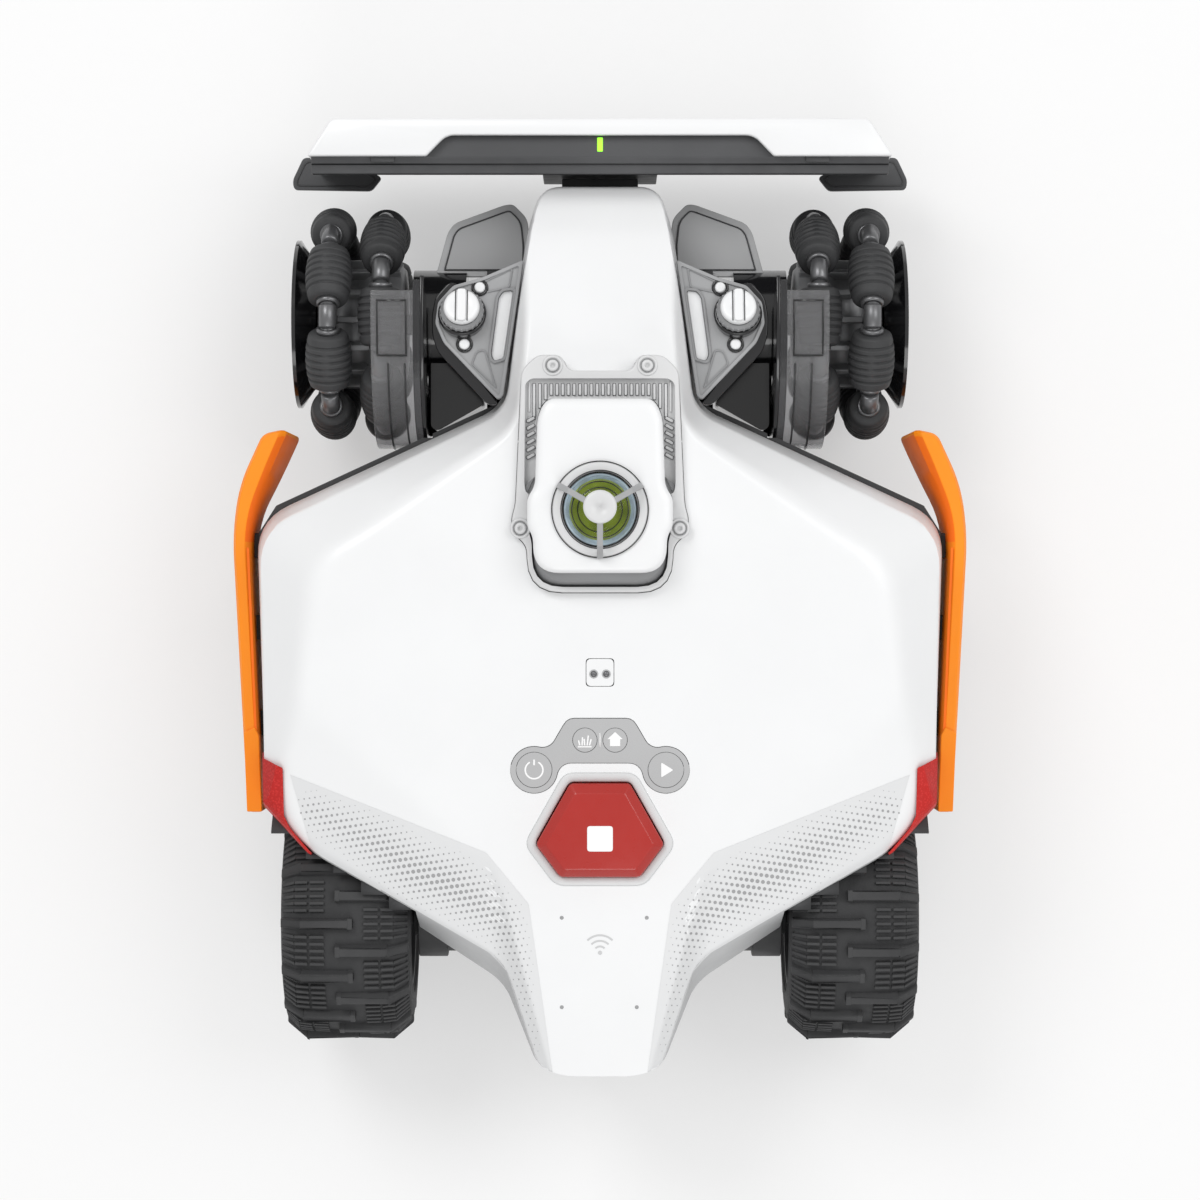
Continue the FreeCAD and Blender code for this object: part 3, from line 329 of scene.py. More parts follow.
def box_mesh(centre, size):
    x, y, z = (s / 2 for s in size)
    corners = [Vector((a * x, b * y, c * z)) for c in (-1, 1) for b in (-1, 1) for a in (-1, 1)]
    verts = [tuple(c + Vector(centre)) for c in corners]
    return verts, [(0, 2, 3, 1), (4, 5, 7, 6), (0, 1, 5, 4), (2, 6, 7, 3), (0, 4, 6, 2), (1, 3, 7, 5)]


def joined(parts):
    """Several (verts, faces) sets as one."""
    verts, faces = [], []
    for more_verts, more_faces in parts:
        start = len(verts)
        verts += more_verts
        faces += [tuple(start + i for i in face) for face in more_faces]
    return verts, faces


def moved(part, matrix):
    verts, faces = part
    return [tuple(matrix @ Vector(v)) for v in verts], faces


def arc(x, y, radius, start, end, steps=10):
    """Points on an arc, from one angle to another in degrees."""
    angles = [math.radians(start + (end - start) * k / steps) for k in range(steps + 1)]
    return [(x + radius * math.cos(a), y + radius * math.sin(a)) for a in angles]


def offset(points, by):
    """A counter-clockwise outline moved outward by a distance, with mitred corners."""
    out = []
    for k, here in enumerate(points):
        here, before, after = Vector(here), Vector(points[k - 1]), Vector(points[(k + 1) % len(points)])
        normals = []
        for run in (here - before, after - here):
            run.normalize()
            normals.append(Vector((run.y, -run.x)))
        out.append(tuple(here + (normals[0] + normals[1]) * by / (1 + normals[0].dot(normals[1]))))
    return out


def stacked(levels):
    """Outlines of one length at rising heights, closed at both ends."""
    count = len(levels[0][0])
    verts = [(x, y, z) for outline, z in levels for x, y in outline]
    ends = [tuple(reversed(range(count))), tuple(range(len(verts) - count, len(verts)))]
    return verts, ends + quads(len(levels), count)


def in_steps(outline, radii, steps, levels):
    """An outline stacked at (offset, height) levels, with rounded corners."""
    return stacked([(rounded(offset(outline, by), radii, steps), z) for by, z in levels])


# ---------------------------------------------------------------- cover
DECK_Z, RIM_Z, SHOULDER_Z, RIDGE_Z = 226.0, 128.0, 190.0, 236.0
ON_DECK = Matrix.Translation((0, 0, DECK_Z)) @ Matrix.Rotation(math.radians(5), 4, "X")
TOP_Y = (-347, 0, 40, 130, 200, 262, 290, 302)
TOP_Z = (195.64, 226, 229, 227, 206, 177, 157, 132)
# Right half of the rim, the shoulder and the ridge, from tail to nose, with each corner's radius.
RINGS = (
    ((28, -345), (26, -338), (25, -336), 16), ((46, -338), (43, -332), (42, -330), 12),
    ((67, -285), (66, -264), (64, -262), 9), ((75, -275), (74, -254), (76, -240), 12),
    ((213, -184), (206, -178), (198, -150), 14), ((243, -150), (238, -142), (203, -110), 24),
    ((250, 58), (241.5, 49), (191, 21), 26), ((71, 141), (66, 134), (59, 116), 16),
    ((61, 214), (57, 211), (40, 200), 30),
    ((53, 268), (49, 262), (34, 250), 14), ((43, 301), (40, 295), (28, 276), 15),
)
# Three points on the plane of each sloping face: behind the shoulder, and beside the tail.
BANDS = (((74, -254, 190), (206, -178, 190), (84, -178, 210.4)),
         ((44, -332, 189), (66, -264, 191), (34, -339, 196.3)))
ARC_STEPS, RUN_STEPS = 7, 9


def soft_min(a, b, width):
    blend_by = np.clip(0.5 + 0.5 * (b - a) / width, 0, 1)
    return b + (a - b) * blend_by - width * blend_by * (1 - blend_by)


def plane_height(points, x, y):
    a, b, c = (np.array(p, float) for p in points)
    normal = np.cross(b - a, c - a)
    return a[2] - (normal[0] * (x - a[0]) + normal[1] * (y - a[1])) / normal[2]


def top_height(x, y):
    """The cover's upper surface over any point of the plan."""
    x, y = np.abs(np.asarray(x, float)), np.asarray(y, float)
    spread = np.linspace(-12, 12, 9)
    weights = np.exp(-(spread / 7.0) ** 2)
    deck = sum(w * np.interp(y + s, TOP_Y, TOP_Z) for w, s in zip(weights, spread)) / weights.sum()
    shoulder, tail = (plane_height(points, x, y) for points in BANDS)
    return soft_min(deck, -soft_min(-shoulder, -tail, 5.0), 1.6)


def cover_ring(level):
    half = [(row[level], row[3]) for row in RINGS]
    corners = half + [((-x, y), r) for (x, y), r in reversed(half)]
    points, radii = [c[0] for c in corners], [c[1] for c in corners]
    bent = rounded(points, radii, ARC_STEPS)
    out = []
    for k in range(len(points)):
        arc_points = bent[k * (ARC_STEPS + 1):(k + 1) * (ARC_STEPS + 1)]
        out += arc_points
        a, b = Vector(arc_points[-1]), Vector(bent[((k + 1) % len(points)) * (ARC_STEPS + 1)])
        out += [tuple(a.lerp(b, s / RUN_STEPS)) for s in range(1, RUN_STEPS)]
    return np.array(out)


def cover_sheet():
    rim, shoulder, ridge = (cover_ring(level) for level in range(3))
    spine = ridge * (0.0, 0.93)
    layers = [(rim + (shoulder - rim) * t, RIM_Z + (SHOULDER_Z - RIM_Z) * t) for t in np.linspace(0, 1, 8)]
    layers += [(shoulder + (ridge - shoulder) * t, SHOULDER_Z + (RIDGE_Z - SHOULDER_Z) * t)
               for t in np.linspace(0, 1, 21)[1:]]
    layers += [(ridge + (spine - ridge) * t, RIDGE_Z + 200 * t) for t in np.linspace(0, 1, 45)[1:]]
    verts = []
    count = len(rim)
    for points, level in layers:
        heights = soft_min(np.full(count, float(level)), top_height(points[:, 0], points[:, 1]), 9.0)
        heights = np.maximum(heights, min(level, RIM_Z + 1))
        verts += [(x, y, z) for (x, y), z in zip(points, heights)]
    return verts, quads(len(layers), count)


STOP = mirror([(28, -195), (45, -172), (21, -129)])
KEYPAD = mirror(arc(20.4, -124.8, 10, 90, 11, 6) + arc(46.3, -119.8, 16.4, 191, 462, 30) +
                arc(40.5, -94.1, 10, 282, 211, 8) +
                [(25.8, -88.7), (23.6, -85.6), (21.0, -84.0), (18, -83.5)])
SCANNER_BASE = mirror([(50.4, 5.2), (51, 38), (60, 46), (62, 56), (59, 66), (57, 110), (55, 160), (44, 171),
                       (27, 171), (22, 160)])
BASE_RADII = [24, 6, 5, 5, 6, 10, 5, 5, 5, 5, 5, 5, 5, 5, 10, 6, 5, 5, 6, 24]
SCANNER_HEAD = mirror([(46.4, 9.8), (47, 42), (50, 50), (50, 72), (44.5, 80), (43.5, 128), (38, 140)])
HEAD_RADII = [21, 8, 6, 6, 8, 12, 10, 10, 12, 8, 6, 6, 8, 21]
REAR_AXLE = (-231.0, 92.0)
FRONT_AXLE = (204.0, 86.0)


def cover():
    sheet = piece("cover_shell", *cover_sheet(), WHITE, None)
    sheet.data.materials.append(SKIRT)
    # The steep faces low on the tail take the grey finish.
    for face in sheet.data.polygons:
        middle = face.center
        steep = face.normal.z < 0.66 and middle.z < 0.192
        if steep and middle.y < -0.172:
            face.material_index = 1
    modify(sheet, "SOLIDIFY", thickness=3 * MM, offset=-1)
    bake(sheet)
    holes = [moved(slab_mesh(rounded(offset(STOP, 2.3), 3), -40, 40), ON_DECK),
             moved(slab_mesh(offset(KEYPAD, 0.45), -40, 40), ON_DECK),
             moved(slab_mesh(rounded(mirror([(10, -61), (10, -41)]), 3), -40, 40), ON_DECK),
             slab_mesh(rounded(offset(SCANNER_BASE, 0.5), BASE_RADII), 190, 290)]
    for s in (-1, 1):
        holes.append(lathe_mesh([(s * 131, 95.5), (s * 270, 95.5)], (0, *REAR_AXLE), "X", 96, closed=False))
    carve(sheet, joined(holes))
    for face in sheet.data.polygons:
        face.use_smooth = True
    modify(sheet, "EDGE_SPLIT", split_angle=math.radians(38))
    settle(bake(sheet), "chassis", "top_cover")
    for word, s in SIDES:
        liner = piece(f"wheel_well_{word}", *well_liner(s), HULL, slot="hull_plastic")
        modify(liner, "SOLIDIFY", thickness=1.4 * MM, offset=0)
    return height_over(sheet)


def well_liner(s, radius=97.0, below=3.2):
    """An arched sheet over a rear wheel, kept under the cover and inside its rear edge."""
    verts, faces = [], []
    columns = (131, 150, 170, 190, 210, 236)
    across, steps = len(columns), 48
    for y, z in arc(*REAR_AXLE, radius, 14, 166, steps):
        roof = float(top_height(134, y)) - below
        verts += [(s * x, y, min(z, float(top_height(x, y)) - below, roof)) for x in columns]
    for k in range(steps):
        faces += [(k * across + j, k * across + j + 1, k * across + j + across + 1, k * across + j + across)
                  for j in range(across - 1)]

    def inside(i):
        x, y, z = verts[i]
        return y > -258 + (abs(x) - 84) * 0.6 - 4 and z > 127
    return verts, [face for face in faces if all(inside(i) for i in face)]


# The line of the largest printed dots, with the dots' radius and the field's reach at each of its points.
DOT_LINE = ((-203, -149.6), (-157.8, -173.2), (-128.8, -192.2), (-105.3, -201.2), (-83.6, -216.6),
            (-71, -226.5), (-58.2, -254.6), (-54.7, -272.7), (-47.3, -305.3), (-44.7, -327))
DOT_SIZE = (0.95, 1.25, 1.42, 1.45, 1.3, 1.15, 0.72, 0.6, 0.45, 0.25)
DOT_REACH = (19, 26, 28, 28, 26, 23, 15, 11, 8, 6)
DOT_START, DOT_ACROSS, DOT_DOWN = (-300, -130), (3.88, 0.58), (2.64, -4.46)
SMALLEST_DOT = 0.22
CREASE = ((-219, -123.3), (-80.1, -178), (-50.3, -214.4), (-33.5, -336))
BAND_EDGE = ((-218.5, -124.5), (-205, -177), (-79, -250.5), (-66.5, -264), (-44, -334))


def along(line, t):
    """The point at a share of a broken line's length."""
    runs = [math.dist(a, b) for a, b in zip(line, line[1:])]
    left = t * sum(runs)
    for (a, b), run in zip(zip(line, line[1:]), runs):
        if left <= run:
            return a[0] + (b[0] - a[0]) * left / run, a[1] + (b[1] - a[1]) * left / run
        left -= run
    return line[-1]


def height_over(obj):
    """A function giving the topmost height of a finished mesh over any point of the plan."""
    mesh = obj.data
    tree = BVHTree.FromPolygons([v.co for v in mesh.vertices], [tuple(f.vertices) for f in mesh.polygons])

    def height(x, y):
        hit = tree.ray_cast(Vector((x, y, 400)) * MM, Vector((0, 0, -1)))[0]
        return hit.z / MM if hit else float(top_height(x, y))
    return height


def band_faces(height):
    """The sloping faces behind the shoulders, laid over darker than the deck as painted shade for their
    slope.
    """
    rows, cols = 30, 170
    for word, s in SIDES:
        verts = []
        for c in range(cols + 1):
            (x0, y0), (x1, y1) = along(CREASE, c / cols), along(BAND_EDGE, c / cols)
            for r in range(rows + 1):
                x, y = x0 + (x1 - x0) * r / rows, y0 + (y1 - y0) * r / rows
                verts.append((s * -x, y, height(s * -x, y) + 0.2))
        faces = []
        for c in range(cols):
            for r in range(rows):
                a = c * (rows + 1) + r
                faces.append((a, a + 1, a + rows + 2, a + rows + 1))
        face_up(piece(f"cover_band_{word}", verts, faces, BAND_SHADED_WHITE, slot="white_plastic"))


def dot_radius(x, y):
    """The size of the printed dot at a place on the left side, falling off from the line of the largest."""
    line, spot = [Vector(p) for p in DOT_LINE], Vector((x, y))
    best = None
    for k in range(len(line) - 1):
        run = line[k + 1] - line[k]
        t = min(1.0, max(0.0, (spot - line[k]).dot(run) / run.length_squared))
        gap = (spot - line[k] - run * t).length
        if best is None or gap < best[0]:
            best = (gap, k, t)
    gap, k, t = best
    size = DOT_SIZE[k] + (DOT_SIZE[k + 1] - DOT_SIZE[k]) * t
    reach = DOT_REACH[k] + (DOT_REACH[k + 1] - DOT_REACH[k]) * t
    return size * (1 - (gap / reach) ** 1.3) if gap < reach else 0


def on_band(x, y):
    """Whether a place on the left side lies on the sloping faces, clear of their edges."""
    low, far, _ = BANDS[0]
    edge = (abs(x) - low[0]) * (far[1] - low[1]) - (y - low[1]) * (far[0] - low[0])
    tail_edge = 66 - (-y - 264) * 0.32 - 2.5
    beside = abs(x) < tail_edge if y < -252 and x > -76 else edge < -330
    return beside and y >= -333 and x >= -219 - (y + 124) * 0.26


def dots(height):
    corners = 12
    angles = [2 * math.pi * k / corners for k in range(corners)]
    for word, s in SIDES:
        parts = []
        for row in range(-8, 50):
            for col in range(-30, 75):
                x, y = (start + col * across + row * down
                        for start, across, down in zip(DOT_START, DOT_ACROSS, DOT_DOWN))
                radius = dot_radius(x, y)
                if radius < SMALLEST_DOT or not on_band(x, y):
                    continue
                ring = [(s * -(x + radius * math.cos(a)), y + radius * math.sin(a)) for a in angles]
                parts.append(([(px, py, height(px, py) + 0.4) for px, py in ring], [tuple(range(corners))]))
        face_up(piece(f"cover_dots_{word}", *joined(parts), DOTS, slot="grey_plastic", smooth=False))


# ---------------------------------------------------------------- deck controls
def deck_piece(name, part, mat, body="chassis", slot=None, edge=0.0, segments=3):
    return solid(name, moved(part, ON_DECK), mat, body, slot, edge, segments)


def stroke(points, width, low, high):
    """A flat line of even width, for a pictogram."""
    pts = [Vector(p) for p in points]
    count = len(pts)
    left, right = [], []
    for k, p in enumerate(pts):
        before = pts[k - 1] if k else p
        after = pts[k + 1] if k < count - 1 else p
        run = (after - before).normalized()
        normal = Vector((-run.y, run.x)) * width / 2
        left.append(tuple(p + normal))
        right.append(tuple(p - normal))
    return slab_mesh(left + right[::-1], low, high)


KEYS = (("power_key", -46.3, -119.8, 12.5), ("start_key", 46.3, -119.8, 12.5), ("mow_key", -10.6, -98.7, 8.5),
        ("home_key", 10.6, -98.7, 8.5))
INK = (0.6, 0.82)


def legends():
    """Plain pictograms: power, play, grass and house."""
    power = [(-46.3 + 6.2 * math.sin(a), -119.8 + 6.2 * math.cos(a)) for a in np.linspace(0.5, 5.78, 40)]
    grass = ((-14.2, -0.9, 3.6), (-12.6, 0.3, 5.8), (-10.8, -0.3, 4.6), (-9.0, 0.8, 7.0), (-7.4, 1.2, 4.4))
    house = [(7.0, -102.9), (14.2, -102.9), (14.2, -98.0), (16.0, -98.0), (10.6, -92.9), (5.2, -98.0),
             (7.0, -98.0)]
    return {
        "power_key": [stroke(power, 1.15, *INK), stroke([(-46.3, -116.4), (-46.3, -112.4)], 1.2, *INK)],
        "start_key": [slab_mesh(rounded([(43.0, -125.2), (51.6, -119.8), (43.0, -114.4)], 1.2), *INK)],
        "mow_key": [stroke([(x, -102.4), (x + lean, -102.4 + tall)], 1.0, *INK) for x, lean, tall in grass]
        + [stroke([(-15.6, -103.4), (-5.8, -103.4)], 0.9, *INK)],
        "home_key": [slab_mesh(house, *INK)],
    }


def keypad():
    plate = piece("keypad_plate", *moved(slab_mesh(KEYPAD, -5, 0.6), ON_DECK), PANEL, None)
    wells = joined([lathe_mesh([(-20, r + 0.3), (20, r + 0.3)], (x, y, 0), segments=72, closed=False)
                    for _, x, y, r in KEYS])
    carve(plate, moved(wells, ON_DECK))
    settle(soften(plate, 0.25, 2), "chassis", "keypad_panel")
    marks = legends()
    for name, x, y, r in KEYS:
        profile = [(-5.5, 0.02), (-5.5, r), (0.35, r), (0.6, r - 0.25), (0.6, 0.02)]
        button = lathe_mesh(profile, (x, y, 0), segments=72)
        cap = deck_piece(name + "_cap", button, PANEL, name, "light_grey")
        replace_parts(cap, name)
        modify(cap, "EDGE_SPLIT", split_angle=math.radians(40))
        mark = deck_piece(name + "_legend", joined(marks[name]), LEGEND, name, "white_plastic")
        mark.data.shade_flat()
    divider = stroke([(0, -103.6), (0, -93.8)], 0.8, 0.55, 0.78)
    deck_piece("keypad_divider", divider, LEGEND, slot="white_plastic")


def stop_button():
    steps = ((0, -8), (0, 5.2), (-0.35, 5.9), (-0.9, 6.4), (-5.6, 10.5), (-6.1, 10.85), (-6.8, 11.0))
    shape = stacked([(rounded(offset(STOP, by), 2.6 + by * 0.2, 6), z) for by, z in steps])
    cap = deck_piece("stop_cap", shape, RED, "stop_button", "red_plastic")
    modify(cap, "EDGE_SPLIT", split_angle=math.radians(26))
    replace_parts(cap, "stop_button")
    rod = lathe_mesh([(-21, 6), (-7, 6)], (0, -165, 0), segments=32, closed=False)
    stem = deck_piece("stop_stem", rod, DARK, "stop_button", "dark_plastic", 0.5)
    stem.data.shade_smooth()
    square = rounded([(-9, -176), (9, -176), (9, -158), (-9, -158)], 2.2)
    deck_piece("stop_legend", slab_mesh(square, 10.9, 11.25), LEGEND, "stop_button", "white_plastic", 0.1, 2)
    rings = ((7.2, 0.05), (6.9, 0.75), (6.2, 1.15), (4.0, 1.3), (1.6, 1.15), (0.9, 0.6), (0.6, -0.6),
             (0.6, -10), (2.0, -10), (2.0, 0.0))
    outlines = [(rounded(offset(STOP, by), 3 + by * 0.6, 6), z) for by, z in rings]
    verts = [(x, y, z) for outline, z in outlines for x, y in outline]
    faces = quads(len(rings), len(outlines[0][0]), closed=True)
    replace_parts(deck_piece("stop_surround", (verts, faces), RIM_GREY, slot="light_grey"), "stop_bezel")


def deck_marks():
    outline = rounded(mirror([(9.6, -60.6), (9.6, -41.4)]), 3.6)
    plate = deck_piece("rain_plate", slab_mesh(outline, -3, 0.55), WHITE, slot="white_plastic", edge=0.35)
    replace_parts(plate, "rain_sensor")
    stud = [(-1, 0.02), (-1, 2.1), (1.0, 2.1), (1.7, 1.6), (2.0, 0.8), (2.05, 0.02)]
    collar = [(0.5, 2.2), (0.5, 3.2), (0.8, 3.1), (0.85, 2.2)]
    for k, s in enumerate((-1, 1)):
        at = (s * 4.4, -52, 0)
        deck_piece(f"rain_stud_{k}", lathe_mesh(stud, at, segments=28), SHAFT, slot="steel")
        deck_piece(f"rain_collar_{k}", lathe_mesh(collar, at, segments=28), PANEL, slot="light_grey")
    dot = [(0.02, 0.02), (0.02, 1.4), (0.2, 1.3), (0.22, 0.02)]
    for k, (x, y) in enumerate(((-27, -225), (33, -225), (-27, -289), (26, -289))):
        deck_piece(f"tail_dot_{k}", lathe_mesh(dot, (x, y, 0), segments=20), DOTS, slot="grey_plastic")
    signal = [stroke(arc(0, -250, r, 45, 135, 16), 1.3, 0.02, 0.2) for r in (4.5, 8.5, 12.5)]
    signal.append(lathe_mesh([(0.02, 0.02), (0.02, 1.5), (0.2, 1.5), (0.2, 0.02)], (0, -250, 0), segments=20))
    mark = deck_piece("antenna_symbol", joined(signal), FAINT, slot="grey_plastic")
    mark.data.shade_flat()


# ---------------------------------------------------------------- scanner
LENS_Y = 62.6
LENS_AT = (0, LENS_Y, 0)
SCANNER_SCREWS = ((-33, 163.5), (33, 163.5), (-55.5, 50), (55.5, 50))


def scanner_frame():
    levels = ((0, 204.5), (0, 233.2), (-0.5, 234.3), (-1.6, 235))
    base = piece("scanner_frame", *in_steps(SCANNER_BASE, BASE_RADII, 5, levels), RIM_GREY, None)
    well = [slab_mesh(rounded(mirror([(51.5, 74), (52.7, 80), (52.2, 151), (48, 154.5)]), 3), 229, 260),
            slab_mesh(rounded(offset(SCANNER_HEAD, 0.7), HEAD_RADII), 207, 260)]
    well += [lathe_mesh([(220, 2.3), (260, 2.3)], (x, y, 0), segments=24, closed=False)
             for x, y in SCANNER_SCREWS]
    carve(base, *well)
    settle(soften(base, 0.5, 2, 40), "chassis", "scanner_base")


def scanner_vents():
    """A row of ribs behind the head and six slanted ones at each side, each over a slightly larger dark slab
    of painted shadow that shows round it as an outline.
    """
    ribs, painted_shadows = [], []
    for k in range(24):
        x = (k - 11.5) * 4.0
        low = 143.0 - max(0.0, abs(x) - 36) * 1.5
        bar = [(x - 0.8, low), (x + 0.8, low), (x + 0.8, 151), (x - 0.8, 151)]
        ribs.append(slab_mesh(rounded(bar, 0.6, 2), 228.6, 231.4))
        # Beneath each rib, a slightly larger dark slab as painted shadow.
        painted_shadows.append(slab_mesh(rounded(offset(bar, 0.55), 0.8, 2), 228.4, 229.3))
    for s in (-1, 1):
        frame_bar = handed([(49.9, 152), (48.7, 152), (48.7, 131.5), (49.9, 131.5)], s)
        ribs.append(slab_mesh(frame_bar, 228.6, 231))
        for k in range(6):
            y = 126.0 - k * 5.1
            turn = Matrix.Translation((s * 48.4, y, 0)) @ Matrix.Rotation(math.radians(-28 * s), 4, "Z")
            bar = [(-3.0, -0.95), (3.0, -0.95), (3.0, 0.95), (-3.0, 0.95)]
            ribs.append(moved(slab_mesh(rounded(bar, 0.8, 2), 228.6, 231.4), turn))
            painted_shadows.append(moved(slab_mesh(rounded(offset(bar, 0.55), 0.9, 2), 228.4, 229.3), turn))
    solid("scanner_vents", joined(ribs), RIM_GREY, slot="light_grey", edge=0.25, segments=2)
    piece("vent_painted_shadows", *joined(painted_shadows), FIN_GREY, slot="grey_plastic")


def scanner_head():
    for k, s in enumerate((-1, 1)):
        wedge = handed([(45.6, 86), (52.3, 80), (52.3, 71), (50.2, 76)], s)
        slab(f"scanner_gusset_{k}", wedge, 228, 232.5, FIN_GREY, slot="grey_plastic", edge=0.3)
    levels = ((0.2, 207.5), (0.2, 228), (-0.4, 231), (-3.2, 243), (-3.4, 245))
    lower = in_steps(SCANNER_HEAD, HEAD_RADII, 7, levels)
    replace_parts(solid("scanner_body", lower, FIN_GREY, slot="grey_plastic"), "scanner_head")
    outline = mirror([(46.0, 18.6), (46.6, 44), (50.6, 51), (50.6, 71), (45.2, 79), (43.6, 128), (37, 139.8)])
    levels = ((-2.6, 240), (-0.5, 241), (0, 243.5), (-0.2, 249.5), (-1.2, 252.2), (-3.2, 253.6), (-7, 254.2),
              (-10, 254.2))
    cap = piece("scanner_cap", *in_steps(outline, HEAD_RADII, 8, levels), WHITE, None)
    carve(cap, lathe_mesh([(238, 26.4), (270, 26.4)], LENS_AT, segments=96, closed=False))
    modify(cap, "EDGE_SPLIT", split_angle=math.radians(40))
    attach(cap, "chassis")


def lens():
    """The clear dome over its iris and rings, and the rim that holds it."""
    def ring(name, profile, mat, slot="black_glass", segments=96):
        return lathe(name, profile, LENS_AT, "Z", mat, slot=slot, segments=segments)

    bezel = [(254.0, 26.6), (255.0, 26.9), (255.5, 28), (255.5, 32), (255.1, 33), (254.0, 33.2)]
    ring("lens_bezel", bezel, RIM_GREY, "light_grey")
    ring("lens_gasket", [(250, 26.3), (254.9, 26.3), (255.3, 25.9), (254.9, 25.3), (250, 25.0)], GLOSS)
    seat = [(246, 25.4), (253.6, 25.0), (253.9, 24.4), (251.5, 22.6), (250.5, 21.2), (246, 21.0)]
    ring("lens_seat", seat, IRIS_BLUE)
    iris = [(240, 21.6), (250.2, 21.6), (250.6, 20.9), (249.2, 17.5), (246.8, 12), (245.6, 6), (245.4, 0.05),
            (240, 0.05)]
    ring("lens_iris", iris, IRIS)
    for k, (radius, z) in enumerate(((19.6, 250.4), (15.5, 248.9))):
        line = [(z - 0.8, radius - 0.45), (z + 0.25, radius - 0.3), (z + 0.25, radius + 0.3),
                (z - 0.8, radius + 0.45)]
        ring(f"lens_ring_{k}", line, GLOSS, segments=80)
    rise = np.linspace(0.02, 1.55, 18)
    dome = [(249.8, 24.9)] + [(251.2 + 12.4 * math.sin(a), 24.6 * math.cos(a)) for a in rise]
    dome += [(250.0 + 12.2 * math.sin(a), 23.4 * math.cos(a)) for a in rise[::-1]]
    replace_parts(ring("lens_dome", dome, LENS, "dome_glass"), "scanner_dome")
    for k, radius in enumerate((33.3, 26.9)):
        line = [(254.0, radius - 0.1), (255.6, radius - 0.1), (255.6, radius + 0.45), (254.0, radius + 0.45)]
        ring(f"lens_outline_{k}", line, GLOSS)


def lens_guard():
    hub = [(272.9, 0.05), (269.2, 10.6), (270.2, 11.6), (271.8, 11.6), (272.8, 10.7), (273, 9.4), (273, 0.05)]
    top = lathe("guard_hub", hub, (0, LENS_Y + 1.4, 0), "Z", RIM_GREY, slot="light_grey", segments=72)
    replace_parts(top, "scanner_guard")
    for k in range(3):
        turn = Matrix.Translation(LENS_AT) @ Matrix.Rotation(math.radians(120 * k - 90), 4, "Z")
        shape = [(9.5, 269.6), (9.5, 271.9), (25.5, 269.8), (30.8, 264.2), (34.0, 258.2), (34.0, 254.9),
                 (29.2, 254.9), (29.2, 256.4), (28.4, 261.8), (24.0, 267.2)]
        count = len(shape)
        verts = [(r, w, z) for w in (-2.1, 2.1) for r, z in shape]
        faces = [tuple(range(count)), tuple(reversed(range(count, 2 * count)))]
        faces += [(i, count + i, count + (i + 1) % count, (i + 1) % count) for i in range(count)]
        solid(f"guard_spoke_{k}", moved((verts, faces), turn), TOWER, slot="light_grey", edge=0.5)


def scanner_screws():
    collar = [(234.6, 4.9), (235.2, 5.2), (235.9, 6.0), (235.6, 7.0), (234.6, 7.4)]
    head = [(216, 0.05), (216, 2.0), (235.2, 2.0), (235.2, 4.2), (236.4, 4.0), (236.9, 3.2), (236.9, 1.7),
            (235.8, 1.6), (235.8, 0.05)]
    ring = [(235.4, 4.3), (235.75, 4.3), (235.75, 4.9), (235.4, 4.9)]
    for k, (x, y) in enumerate(SCANNER_SCREWS):
        lathe(f"scanner_collar_{k}", collar, (x, y, 0), "Z", RIM_GREY, slot="light_grey", segments=40)
        screw = lathe(f"scanner_screw_{k}", head, (x, y, 0), "Z", RIM_GREY, slot="steel", segments=30)
        lathe(f"scanner_screw_line_{k}", ring, (x, y, 0), "Z", FIN_GREY, slot="grey_plastic", segments=30)
    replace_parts(screw, "cover_screws")


# ---------------------------------------------------------------- side guards
GUARD = [(244.8, -154), (256, -154), (267, 48), (262, 84), (245, 121), (220, 121), (233, 92), (251.6, 56)]


GUARD_RADII = (3, 4, 34, 30, 6, 7, 30, 30)
# How far the outline grows, how far its inner face leans, and the height.
GUARD_LEVELS = ((-1.6, 0, 98.0), (-0.4, 0, 99.0), (0, 0, 101), (0, 7, 134), (-0.5, 8.4, 136.2),
                (-2.2, 9, 139.4), (-2.8, 9, 139.8))


def leaning_guard(by, lean):
    """The guard's outline with its inner face at the flared tip leaning outward by a distance."""
    out = offset(GUARD, by)
    for k in (5, 6):
        out[k] = (out[k][0] + lean * 0.9, out[k][1] + lean * 0.45)
    out[7] = (out[7][0] + lean * 0.5, out[7][1])
    return rounded(out, GUARD_RADII, 6)


def side_guards():
    for word, s in SIDES:
        levels = [(handed(leaning_guard(by, lean), s), z) for by, lean, z in GUARD_LEVELS]
        rail = solid(f"side_rail_{word}", stacked(levels), ORANGE, slot="orange_plastic")
        rail.data.materials.append(ORANGE_SHADED)
        # The inward faces at the flared tip take the deeper orange: painted shade on the side turned from the
        # light.
        for face in rail.data.polygons:
            mid = face.center / MM
            if abs(face.normal.z) < 0.75 and face.normal.x * s < 0.1 and 44 < mid.y < 119:
                face.material_index = 1
        modify(rail, "EDGE_SPLIT", split_angle=math.radians(28))
        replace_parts(rail, f"side_guard_{word}")
        # A deeper orange strip along the rail's top: painted shade at the step line there.
        step_shade = handed([(246.4, -148), (248.2, -148), (256.2, 38), (254.4, 38)], s)
        slab(f"rail_step_shade_{word}", step_shade, 139.4, 140.0, ORANGE_SHADED, slot="orange_plastic", edge=0.2)
        clip = handed([(244.9, -153.4), (255.8, -153.4), (258.2, -96), (250.2, -92), (247.2, -98)], s)
        slab(f"rail_clip_{word}", clip, 120, 141.4, ORANGE, slot="orange_plastic", edge=0.9)
        for k, y in enumerate((-90, -20, 40)):
            part = box_mesh((s * 244.5, y, 111.5), (17, 18, 17))
            solid(f"rail_peg_{word}_{k}", part, HULL, slot="hull_plastic", edge=1.2)


# ---------------------------------------------------------------- bumper
BUMPER_Z = 172.0


FLAP = ((190, 331), (163, 316), (171, 306), (229, 307), (230, 314), (222, 331))


